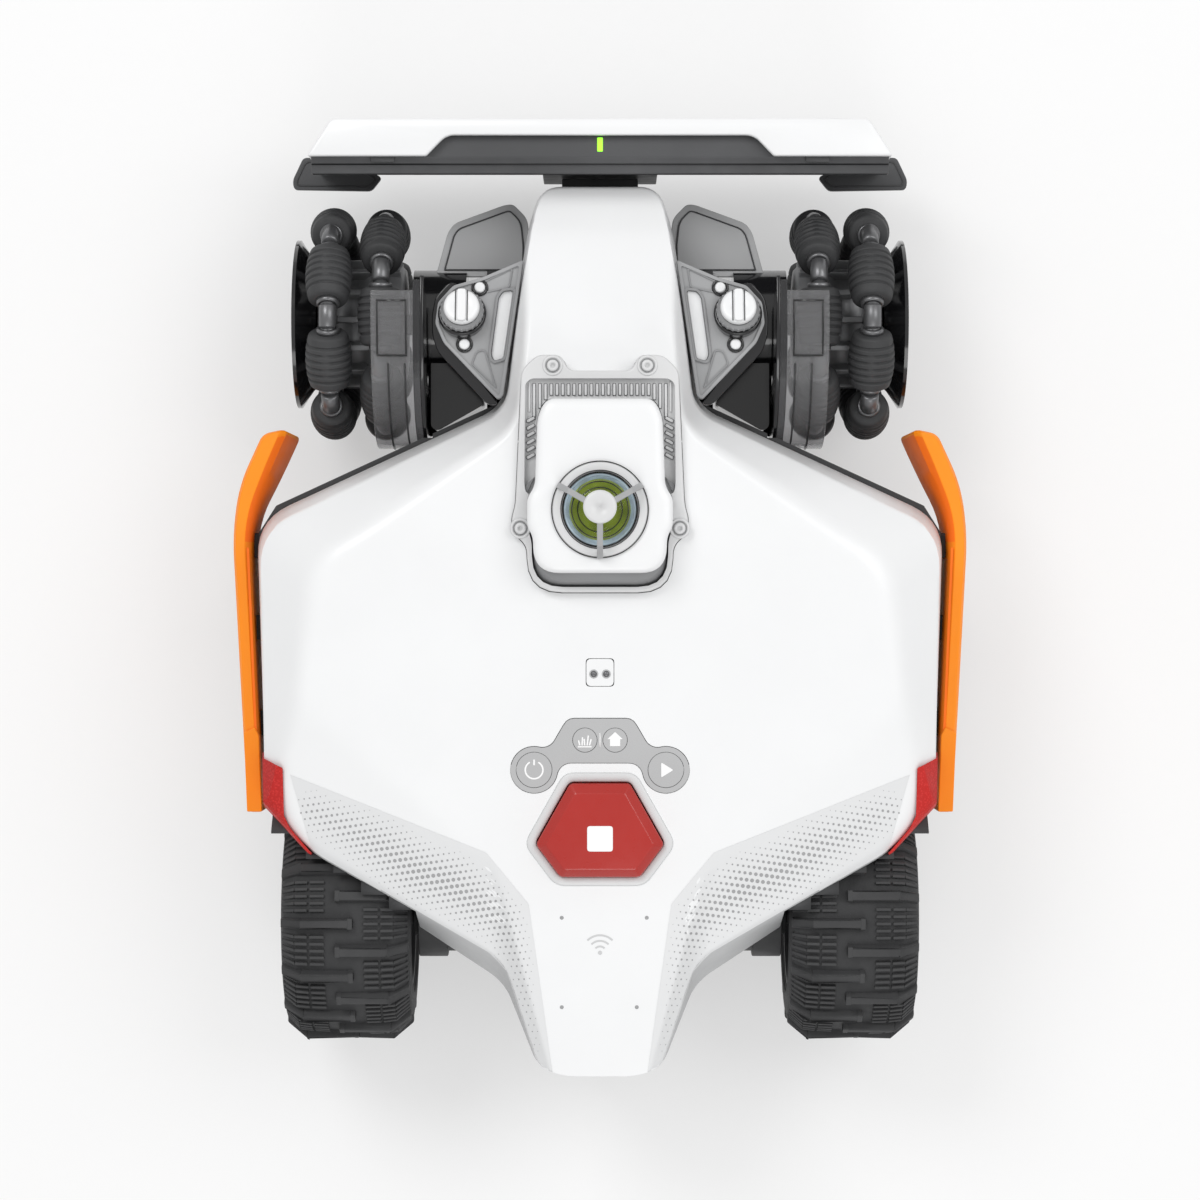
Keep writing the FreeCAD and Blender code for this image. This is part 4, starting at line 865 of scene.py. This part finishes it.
def bumper():
    plan = [(210, 318), (192.5, 344.9), (-192.5, 344.9), (-210, 318)]
    notch = [(-124.5, 318), (-110, 333), (110, 333), (124.5, 318)]
    levels = [(by, BUMPER_Z + z) for by, z in ((-0.6, -5.5), (0, -5), (0, -1.6), (-0.5, -0.6), (-1.5, 0))]
    roof = in_steps(plan + notch, [2, 4, 4, 2, 1.5, 6, 6, 1.5], 5, levels)
    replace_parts(solid("bumper_roof", roof, WHITE, "bumper", "white_plastic"), "bumper_cap")
    wall = [(209.6, 318.6), (192.4, 344.9), (-192.4, 344.9), (-209.6, 318.6), (-207, 318.6), (-191, 341.8),
            (191, 341.8), (207, 318.6)]
    slab("bumper_face", wall, 62, BUMPER_Z - 4.8, WHITE, "bumper", "white_plastic", 0.9, 2)
    for k, z in enumerate((76, 150)):
        line = [(190, 344.6), (190, 345), (-190, 345), (-190, 344.6)]
        slab(f"bumper_line_{k}", line, z, z + 1.6, PANEL, "bumper", "light_grey")
    for k, s in enumerate((-1, 1)):
        tab = box_mesh((s * 156, 316.5, BUMPER_Z - 6.6), (17, 5, 3))
        solid(f"bumper_tab_{k}", tab, HULL, "bumper", "hull_plastic", 0.5)
        flap = handed(FLAP, s)
        rim = offset(flap, -2.6)
        slab(f"bumper_flap_{k}", rounded(flap, 3, 4), 56, 61, DARK, "bumper", "dark_plastic", 0.6)
        line = ring_mesh(rounded(rim, 3, 4), rounded(offset(rim, -1.1), 3, 4), 60.9, 61.5)
        solid(f"bumper_flap_line_{k}", line, HULL, "bumper", "dark_plastic")
    section = [(311, 147), (324, 64), (330, 56), (338, 66), (338, 156), (334, 164), (318, 164), (312, 159),
               (307, 156), (307, 150)]
    verts = [(s * min(208, 208 - (y - 318) * 0.72), y, z) for s in (-1, 1) for y, z in section]
    count = len(section)
    faces = quads(2, count) + [tuple(range(count)), tuple(range(count, 2 * count))]
    core = box_mesh((0, 318, 102), (84, 14, 84))
    bar = solid("bumper_bar", joined([(verts, faces), core]), DARK, "bumper", "dark_plastic", 0.8)
    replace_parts(bar, "bumper_beam")
    seams = [box_mesh((0, 313.2, 160.2), (415, 1.0, 0.8)), box_mesh((0, 307.1, 153.0), (414, 1.0, 1.4))]
    piece("bumper_seams", *joined(seams), VOID, "bumper", "dark_plastic")


# ---------------------------------------------------------------- omni wheels
ROW_X = ((196.0, 0.5), (158.0, 0.0))
RING, PER_ROW = 69.0, 7


def roller_mesh():
    """One ribbed barrel on the Y axis, its grooves bridged by four ribs along its length."""
    spots = np.linspace(-20.6, 20.6, 84)
    around = 40
    verts = []
    for a in spots:
        body = 16.9 - 3.3 * (abs(a) / 20.6) ** 2.2
        nearest = min(abs(abs(a) - g) for g in (2.6, 7.8, 13.0))
        depth = 1.5 * max(0.0, 1 - (nearest / 1.25) ** 4)
        closing = 1.6 * max(0.0, (abs(a) - 18.8) / 1.8) ** 2
        for k in range(around):
            bridged = 0.25 if k % 10 in (0, 1) and abs(a) < 12 else 1.0
            radius = body - depth * bridged - closing
            angle = 2 * math.pi * k / around
            verts.append((radius * math.cos(angle), a, radius * math.sin(angle)))
    ends = [tuple(range(around)), tuple(range(len(verts) - around, len(verts)))]
    return verts, quads(len(spots), around) + ends


def omni_wheels():
    barrel = roller_mesh()
    neck = [(-24.4, 5.6), (-24.4, 7.6), (-23.4, 8.4), (-20.4, 8.4), (-20.4, 5.6)]
    collar = lathe_mesh(neck, (0, 0, 0), "Y", 32)
    shaft = lathe_mesh([(-31.5, 5.4), (31.5, 5.4)], (0, 0, 0), "Y", 32, closed=False)
    knuckle = lathe_mesh([(-8.4, 5.2), (-7.4, 6.4), (7.4, 6.4), (8.4, 5.2)], (0, 0, 0), "Y", 32, closed=False)
    fork = lathe_mesh([(38, 7.2), (44, 5.6), (66, 4.8), (72, 4.6)], (0, 0, 0), "Z", 24, closed=False)
    for word, s in SIDES:
        centre = Matrix.Translation((0, *FRONT_AXLE))
        rollers, metal, forks = [], [], []
        for x, phase in ROW_X:
            for k in range(PER_ROW):
                turn = centre @ Matrix.Rotation(2 * math.pi * (k + phase) / PER_ROW, 4, "X")
                seat = turn @ Matrix.Translation((s * x, 0, RING))
                rollers.append(moved(barrel, seat))
                metal.append(moved(shaft, seat))
                for flip in (0, math.pi):
                    metal.append(moved(collar, seat @ Matrix.Rotation(flip, 4, "Z")))
                between = centre @ Matrix.Rotation(2 * math.pi * (k + phase + 0.5) / PER_ROW, 4, "X")
                corner = RING / math.cos(math.pi / PER_ROW)
                metal.append(moved(knuckle, between @ Matrix.Translation((s * x, 0, corner - 0.6))))
                forks.append(moved(fork, between @ Matrix.Translation((s * x, 0, 0))))
        body = f"front_wheel_{word}"
        barrels = solid(f"roller_set_{word}", joined(rollers), ROLLER, body, "roller_rubber")
        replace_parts(barrels, f"omni_rollers_{word}")
        piece(f"roller_shafts_{word}", *joined(metal), SHAFT, body, "steel")
        piece(f"roller_forks_{word}", *joined(forks), KNUCKLE, body, "steel")
        wheel_middle(word, s, body, centre)


def wheel_middle(word, s, body, centre):
    """The ribbed hub between the roller rows, and the glossy dish with its boss and spokes."""
    def turned(name, profile, mat, slot, segments):
        return lathe(name, [(s * a, r) for a, r in profile], (0, *FRONT_AXLE), "X", mat, body, slot, segments)

    def spread(part, count, phase=0.0):
        """Copies of a part at even steps round the axle."""
        turns = [Matrix.Rotation(2 * math.pi * (k + phase) / count, 4, "X") for k in range(count)]
        return joined([moved(part, centre @ turn) for turn in turns])

    core = [(143, 9), (143, 40), (146, 43), (168, 44.5), (172, 41), (182, 41), (186, 44.5), (204, 43),
            (206, 40), (206, 9)]
    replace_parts(turned(f"wheel_hub_{word}", core, KNUCKLE, "steel", 72), f"omni_hub_{word}")
    ribs = spread(box_mesh((s * 175, 0, 43), (58, 4.5, 9)), 14)
    solid(f"hub_ribs_{word}", ribs, KNUCKLE, body, "steel", 0.8, 2)
    dish = [(207, 12), (207, 44), (212.4, 49.5), (220.6, 62), (223.2, 62), (223.4, 60), (216.6, 47.5),
            (211.6, 42), (211.6, 12)]
    cap = turned(f"wheel_dish_{word}", dish, GLOSS, "black_glass", 96)
    modify(cap, "EDGE_SPLIT", split_angle=math.radians(40))
    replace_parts(cap, f"hub_cap_{word}")
    boss = [(207, 0.1), (207, 12.2), (213.5, 11), (215, 9), (215, 0.1)]
    turned(f"wheel_boss_{word}", boss, HULL, "black_glass", 48)
    spokes = spread(box_mesh((s * 212.6, 0, 28), (3.4, 7, 34)), 7, 0.25)
    solid(f"wheel_spokes_{word}", spokes, DARK, body, "black_glass", 0.9, 2)


# ---------------------------------------------------------------- suspension
TOWER_PLAN = [(69.2, 146), (73, 143), (112, 184), (118, 198), (116, 213), (105, 225), (84, 231),
              (54.6, 243.5)]
SLOT_PLAN = [(69, 173), (76, 171), (78, 175.5), (72.5, 216.5), (69, 221), (62, 221.5)]
TOWER_PANELS = {"front": [(90, 226.4), (83, 228.2), (62, 238.2), (64.5, 223.2), (83, 219.4)],
                "rear": [(82, 179.5), (73.6, 150.5), (92.5, 169), (88.5, 178.4)]}
TOWER_BOLTS = ((86, 223.5), (97, 183))
TOWER_Z = 172.0


def strut_axis(s):
    """The leaning strut's own frame, its origin on the tower's top face."""
    return Matrix.Translation((s * 98.5, 204, TOWER_Z)) @ Matrix.Rotation(math.radians(-18), 4, "X")


def flat_ring(name, s, outer, inner, low, high, mat, edge):
    part = ring_mesh(handed(outer, s), handed(inner, s), low, high)
    return solid(name, part, mat, slot="grey_plastic", edge=edge, segments=2)


def strut_tower(word, s):
    """The fixed tower: its top plate with a raised rim, two framed panels and the slotted insert."""
    plate = slab(f"tower_plate_{word}", handed(rounded(TOWER_PLAN, 2.2, 4), s), 165, 171.8, TOWER, None)
    bores = [slab_mesh(handed(rounded(offset(SLOT_PLAN, 0.1), 2.2, 5), s), 150, 190),
             moved(lathe_mesh([(-40, 11), (20, 11)], segments=48, closed=False), strut_axis(s))]
    carve(plate, joined(bores))
    settle(soften(plate, 0.7, 3), "chassis", f"strut_tower_{word}")
    tube = lathe_mesh([(-36, 9.7), (-36, 12.4), (-35, 13), (-6, 13), (-6, 9.7)], segments=64)
    solid(f"tower_tube_{word}", moved(tube, strut_axis(s)), DARK, slot="grey_plastic")
    legs = joined([box_mesh((s * 76, y, 137), (12.6, 8, 60)) for y in (170, 229)])
    solid(f"tower_legs_{word}", legs, DARK, slot="grey_plastic", edge=1.0, segments=2)
    outer = rounded(offset(TOWER_PLAN, -0.2), 2.2, 4)
    inner = rounded(offset(TOWER_PLAN, -2.6), 2.2, 4)
    flat_ring(f"tower_rim_{word}", s, outer, inner, 171.6, 173.4, TOWER, 0.4)
    for label, points in TOWER_PANELS.items():
        inside = rounded(offset(points, -1.1), 1.8, 4)
        flat_ring(f"tower_{label}_{word}", s, rounded(points, 2.4, 4), inside, 171.8, 172.8, FIN_GREY, 0.3)
    outer, inner = rounded(offset(SLOT_PLAN, 2.0), 3, 5), rounded(offset(SLOT_PLAN, 0.1), 2.2, 5)
    flat_ring(f"tower_slot_{word}", s, outer, inner, 171.8, 173.6, FIN_GREY, 0.4)
    slab(f"tower_insert_{word}", handed(rounded(offset(SLOT_PLAN, -0.1), 2, 5), s), 166, 170.4, WHITE,
         slot="white_plastic", edge=0.5)


def strut_knob(word, s):
    """The seat on the tower and the knob that turns in it."""
    lean, body = strut_axis(s), f"knob_{word}"
    collar = [(-3.5, 13.2), (-3.5, 16.8), (3.2, 17.4), (4.9, 16.4), (4.9, 13.2)]
    seat = moved(lathe_mesh(collar, segments=64), lean)
    solid(f"knob_seat_{word}", seat, GLOSS, slot="dark_plastic", edge=0.5, segments=2)
    skirt = [(5.4, 0.1), (5.4, 14.6), (6.2, 15.4), (9.4, 15.4), (10.4, 14.6), (11.6, 13.4), (11.6, 0.1)]
    low = moved(lathe_mesh(skirt, segments=72), lean)
    solid(f"knob_skirt_{word}", low, FIN_GREY, body, "light_grey", 0.4, 2)
    waist = [(11.4, 0.1), (11.4, 12.9), (12.6, 12.9), (12.6, 0.1)]
    solid(f"knob_waist_{word}", moved(lathe_mesh(waist, segments=72), lean), DARK, body, "dark_plastic")
    top = [(12.4, 0.1), (12.4, 12.2), (13.2, 13.0), (16.6, 12.6), (17.8, 11.6), (18.2, 10.2), (18.2, 0.1)]
    crown = moved(lathe_mesh(top, segments=72), lean)
    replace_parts(solid(f"knob_crown_{word}", crown, WHITE, body, "white_plastic"), f"strut_knob_{word}")
    grip = slab_mesh(rounded([(3.2, -12.2), (3.2, 12.2), (-3.2, 12.2), (-3.2, -12.2)], 2.2, 4), 12.8, 20.2)
    solid(f"knob_grip_{word}", moved(grip, lean), WHITE, body, "light_grey", 1.0)
    # Two dark strips standing beside the grip: painted shade along its sides.
    crease_shade = joined([box_mesh((x, 0, 17.6), (0.8, 23, 1.6)) for x in (-4.2, 4.2)])
    solid(f"knob_crease_shade_{word}", moved(crease_shade, lean), DARK, body, "dark_plastic")
    turns = [lean @ Matrix.Rotation(2 * math.pi * k / 24, 4, "Z") for k in range(24)]
    ribs = joined([moved(box_mesh((15.1, 0, 8), (1.3, 1.7, 4)), turn) for turn in turns])
    solid(f"knob_ribs_{word}", ribs, FIN_GREY, body, "light_grey", 0.3, 2)


def deflector(word, s):
    """The sloped fin in front of the wheel and its inset panel; returns the fin."""
    fin = [(52, 238), (121, 238), (112, 271), (107, 277.5), (70, 291), (64, 291.5), (53.5, 281), (51.5, 262)]
    radii = (1, 1, 4, 4, 4, 4, 5, 2)
    plate = slab(f"deflector_{word}", handed(rounded(fin, radii, 5), s), 96, 101, FIN_LIGHT,
                 slot="grey_plastic", edge=0.9)
    line, inset = rounded(offset(fin, -4.6), radii, 5), rounded(offset(fin, -5.6), radii, 5)
    flat_ring(f"deflector_line_{word}", s, line, inset, 100.6, 102.4, DARK, 0.4)
    slab(f"deflector_panel_{word}", handed(inset, s), 100.6, 101.5, FIN_LIGHT, slot="grey_plastic", edge=0.2)
    return plate


def suspension():
    bolt = [(163, 0.05), (163, 2.0), (171.9, 2.0), (171.9, 3.9), (174.2, 3.7), (175.0, 2.9), (175.0, 0.05)]
    washer = [(171.8, 4.2), (173.0, 4.4), (173.4, 5.2), (172.8, 6.0), (171.8, 6.2)]
    apron = [(72.5, 140.5), (80, 139.5), (116.5, 178), (120.4, 190), (120.6, 204), (118, 217), (108, 228),
             (100, 226), (110, 214), (113, 198), (108, 186)]
    for word, s in SIDES:
        strut_tower(word, s)
        strut_knob(word, s)
        for k, (x, y) in enumerate(TOWER_BOLTS):
            at = (s * x, y, 0)
            lathe(f"tower_bolt_{word}_{k}", bolt, at, "Z", WHITE, slot="steel", segments=28, edge=0.2)
            lathe(f"tower_washer_{word}_{k}", washer, at, "Z", GLOSS, slot="dark_plastic", segments=32)
        slab(f"tower_apron_{word}", handed(rounded(apron, 4, 4), s), 158, 168.5, GLOSS, slot="dark_plastic",
             edge=1.6)
        guard_parts(word, s)
        # Two dark slabs under the slits beside the arm: painted shadow, where the floor would show through.
        gap = handed([(70.5, 139), (84.3, 139), (84.3, 170), (70.5, 170)], s)
        slab(f"arm_slit_shadow_{word}", gap, 62, 68, HULL, slot="dark_plastic")
        edge = handed([(120, 124.5), (128, 120.8), (128, 190), (120, 190)], s)
        slab(f"arm_edge_shadow_{word}", edge, 67, 71, GLOSS, f"arm_{word}", "dark_plastic")
        fin = deflector(word, s)
    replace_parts(fin, "front_deflectors")


def guard_arc(s, x_from, x_to, outer, inner, start, end, steps=48):
    """A curved plate round the front axle; angles in degrees from forward, up and over to the rear."""
    section = [(s * x_from, inner), (s * x_to, inner), (s * x_to, outer), (s * x_from, outer)]
    verts = []
    for ahead, up in arc(0, 0, 1.0, start, end, steps):
        verts += [(x, FRONT_AXLE[0] + r * ahead, FRONT_AXLE[1] + r * up) for x, r in section]
    return verts, quads(steps + 1, 4) + [(0, 1, 2, 3), tuple(steps * 4 + j for j in range(4))]


def guard_parts(word, s):
    """The smoked guard over the inner rollers, its dark inner wall and the inset line on its roof."""
    body = f"arm_{word}"
    roof = guard_arc(s, 133.5, 164, 92, 89.4, 79, 186)
    shell = solid(f"guard_shell_{word}", roof, SMOKE, body, "smoked_plastic", 0.6)
    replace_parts(shell, f"wheel_guard_{word}")
    wall = guard_arc(s, 126, 129, 92, 52, 72, 192)
    solid(f"guard_wall_{word}", wall, GLOSS, body, "dark_plastic", 0.9)
    brow = guard_arc(s, 128.6, 134, 92, 87.6, 74, 190)
    solid(f"guard_brow_{word}", brow, SMOKE_DARK, body, "smoked_plastic", 0.8)
    inset = [guard_arc(s, 138, 139.2, 92.5, 91.8, 84, 108), guard_arc(s, 158.6, 159.8, 92.5, 91.8, 84, 108),
             guard_arc(s, 138, 159.8, 92.5, 91.8, 83.4, 84.2, 4),
             guard_arc(s, 138, 159.8, 92.5, 91.8, 108, 108.8, 4)]
    solid(f"guard_inset_{word}", joined(inset), GLOSS, body, "smoked_plastic")
    ridges = joined([guard_arc(s, x, x + 1.4, 92.9, 91.6, 112, 182) for x in (139, 151)])
    solid(f"guard_ridges_{word}", ridges, SMOKE_DARK, body, "smoked_plastic", 0.3, 2)


# ---------------------------------------------------------------- rear tyres
TYRE_X, TYRE_HALF = 183.0, 46.0
# The tread blocks' inner and outer radius, reach across the tyre, width, and drop at the shoulder end.
BAR_BLOCKS = ((84, 91.7, -6.5, 31, 8.4, 0.0), (82, 91.7, 31, 45.6, 8.4, 11.0), (84, 92, -6.5, -2.5, 9.6, 0.0))
RIB_BLOCKS = ((84, 89.0, 14, 24.6, 2.6, 0.4), (84, 88.6, 26.2, 35.4, 2.6, 1.2),
              (82, 87.4, 35.6, 45.2, 2.6, 9.5))


def tyre_block(turn, side, low, high, x_from, x_to, width, drop):
    """A tread block that reaches across the tyre, its outer end dropped to follow the shoulder."""
    x_from, x_to, w, top = side * x_from, side * x_to, width / 2, width * 0.41
    verts = [(x_from, -w, low), (x_to, -w, low - drop), (x_to, w, low - drop), (x_from, w, low),
             (x_from, -top, high), (x_to, -top, high - drop), (x_to, top, high - drop), (x_from, top, high)]
    faces = [(0, 1, 2, 3), (4, 5, 6, 7), (0, 1, 5, 4), (1, 2, 6, 5), (2, 3, 7, 6), (3, 0, 4, 7)]
    return moved((verts, faces), turn)


def rear_tyres():
    rim = [(TYRE_HALF - 1, 55.4), (TYRE_HALF, 60), (TYRE_HALF, 73), (TYRE_HALF - 3, 79),
           (TYRE_HALF - 11, 85.0), (20, 86.6)]
    section = [(-a, r) for a, r in rim] + [(0, 87)] + rim[::-1]
    bead = ((45.2, 57), (46.6, 58.5), (46.9, 61), (46.2, 63.5), (45.2, 64))
    for word, s in SIDES:
        body, centre = f"rear_wheel_{word}", Matrix.Translation((s * TYRE_X, *REAR_AXLE))
        carcass = lathe(f"tyre_body_{word}", [(s * TYRE_X + a, r) for a, r in section], (0, *REAR_AXLE),
                        "X", TYRE, body, "tyre_rubber", 120)
        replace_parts(carcass, f"rear_tyre_{word}")
        bars, ribs = [], []
        for side, phase in ((-1, 0.0), (1, 0.5)):
            for k in range(14):
                turn = centre @ Matrix.Rotation(2 * math.pi * (k + phase) / 14, 4, "X")
                bars += [tyre_block(turn, side, *block) for block in BAR_BLOCKS]
                for rib in range(5):
                    angle = 2 * math.pi * (k + phase + 0.5) / 14 + (rib - 2) * 0.058
                    turn = centre @ Matrix.Rotation(angle, 4, "X")
                    ribs += [tyre_block(turn, side, *block) for block in RIB_BLOCKS]
        soften(piece(f"tyre_bars_{word}", *joined(bars), TYRE, body, "tyre_rubber", smooth=False), 0.9, 2)
        soften(piece(f"tyre_ribs_{word}", *joined(ribs), TYRE, body, "tyre_rubber", smooth=False), 0.5, 2)
        for end in (-1, 1):
            lathe(f"tyre_bead_{word}_{1 if end > 0 else 0}", [(s * TYRE_X + end * a, r) for a, r in bead],
                  (0, *REAR_AXLE), "X", TYRE, body, "tyre_rubber", 96)


# ---------------------------------------------------------------- stage and carried-over parts
LAMPS = (("key", (-1.5, 1.9, 3.0), 44, 1.6), ("fill", (1.9, 1.1, 2.8), 32, 2.2),
         ("rim", (0.2, -2.2, 2.0), 20, 1.8))
FLOOR_HALF = 9000


def stage():
    corners = [(a * FLOOR_HALF, b * FLOOR_HALF) for a, b in ((-1, -1), (1, -1), (1, 1), (-1, 1))]
    paper = material("floor_paper", (0.45, 0.45, 0.45), 0.9, bump=0.0, vary=0.0, glow=1.0)
    piece("floor", *slab_mesh(corners, -20, -0.4), paper, None, smooth=False)
    world = bpy.data.worlds.new("studio")
    bpy.context.scene.world = world
    world.use_nodes = True
    sky = world.node_tree.nodes["Background"].inputs
    sky["Color"].default_value = (1, 1, 1, 1)
    sky["Strength"].default_value = 0.62
    for name, spot, power, size in LAMPS:
        lamp = bpy.data.lights.new(name, "AREA")
        lamp.energy, lamp.shape, lamp.size = power, "DISK", size
        holder = bpy.data.objects.new(name, lamp)
        bpy.context.scene.collection.objects.link(holder)
        holder.location = spot
        holder.rotation_euler = (Vector((0, 0, 0.1)) - Vector(spot)).to_track_quat("-Z", "Y").to_euler()
    view = bpy.data.cameras.new("camera")
    view.lens, view.sensor_width = 101.8, 36.0
    camera = bpy.data.objects.new("camera", view)
    bpy.context.scene.collection.objects.link(camera)
    camera.location = (0, 0, 2.6)
    bpy.context.scene.camera = camera
    bpy.context.scene.view_settings.view_transform = "Standard"


# The CAD nodes that are kept, each with its material and the width of its rounded edges.
EASY = {
    "lower_hull": (HULL, 1.2), "bumper_arm": (HULL, 0.8), "status_lamp": (GREEN, 0.6),
    "tail_lamps": (LAMP, 0.2), "arm_pivot_pins": (STEEL, 0.4), "strut_springs": (STEEL, 0),
    "battery_pack": (BATTERY, 2),
    "control_board": (BOARD, 0.2), "position_antenna": (RIM_GREY, 0.8), "camera_window": (GLOSS, 0.6),
    "deck_plate": (DARK, 0.8),
}
for _word, _ in SIDES:
    EASY[f"swing_arm_{_word}"] = (GLOSS, 1.2)
    EASY[f"rear_motor_{_word}"] = (HULL, 0.8)
    EASY[f"rear_rim_{_word}"] = (DARK, 0.5)
    EASY[f"disc_motor_{_word}"] = (DARK, 0.8)
    EASY[f"cutting_disc_{_word}"] = (DARK, 0.5)
    for _k in (1, 2, 3):
        EASY[f"blade_{_word}_{_k}"] = (STEEL, 0.15)


def carried_over():
    """The CAD nodes that stay: faces made whole again, edges rounded, and a real finish."""
    for name, (mat, edge) in EASY.items():
        obj = dress(NODES[name], mat)
        modify(obj, "WELD", merge_threshold=4e-6)
        if edge:
            modify(obj, "DECIMATE", decimate_type="DISSOLVE", angle_limit=math.radians(1.2))
            soften(obj, edge, 2, 32)
        for face in obj.data.polygons:
            face.use_smooth = True


over_cover = cover()
band_faces(over_cover)
dots(over_cover)
keypad()
stop_button()
deck_marks()
scanner_frame()
scanner_vents()
scanner_head()
lens()
lens_guard()
scanner_screws()
side_guards()
bumper()
omni_wheels()
suspension()
rear_tyres()
carried_over()
stage()
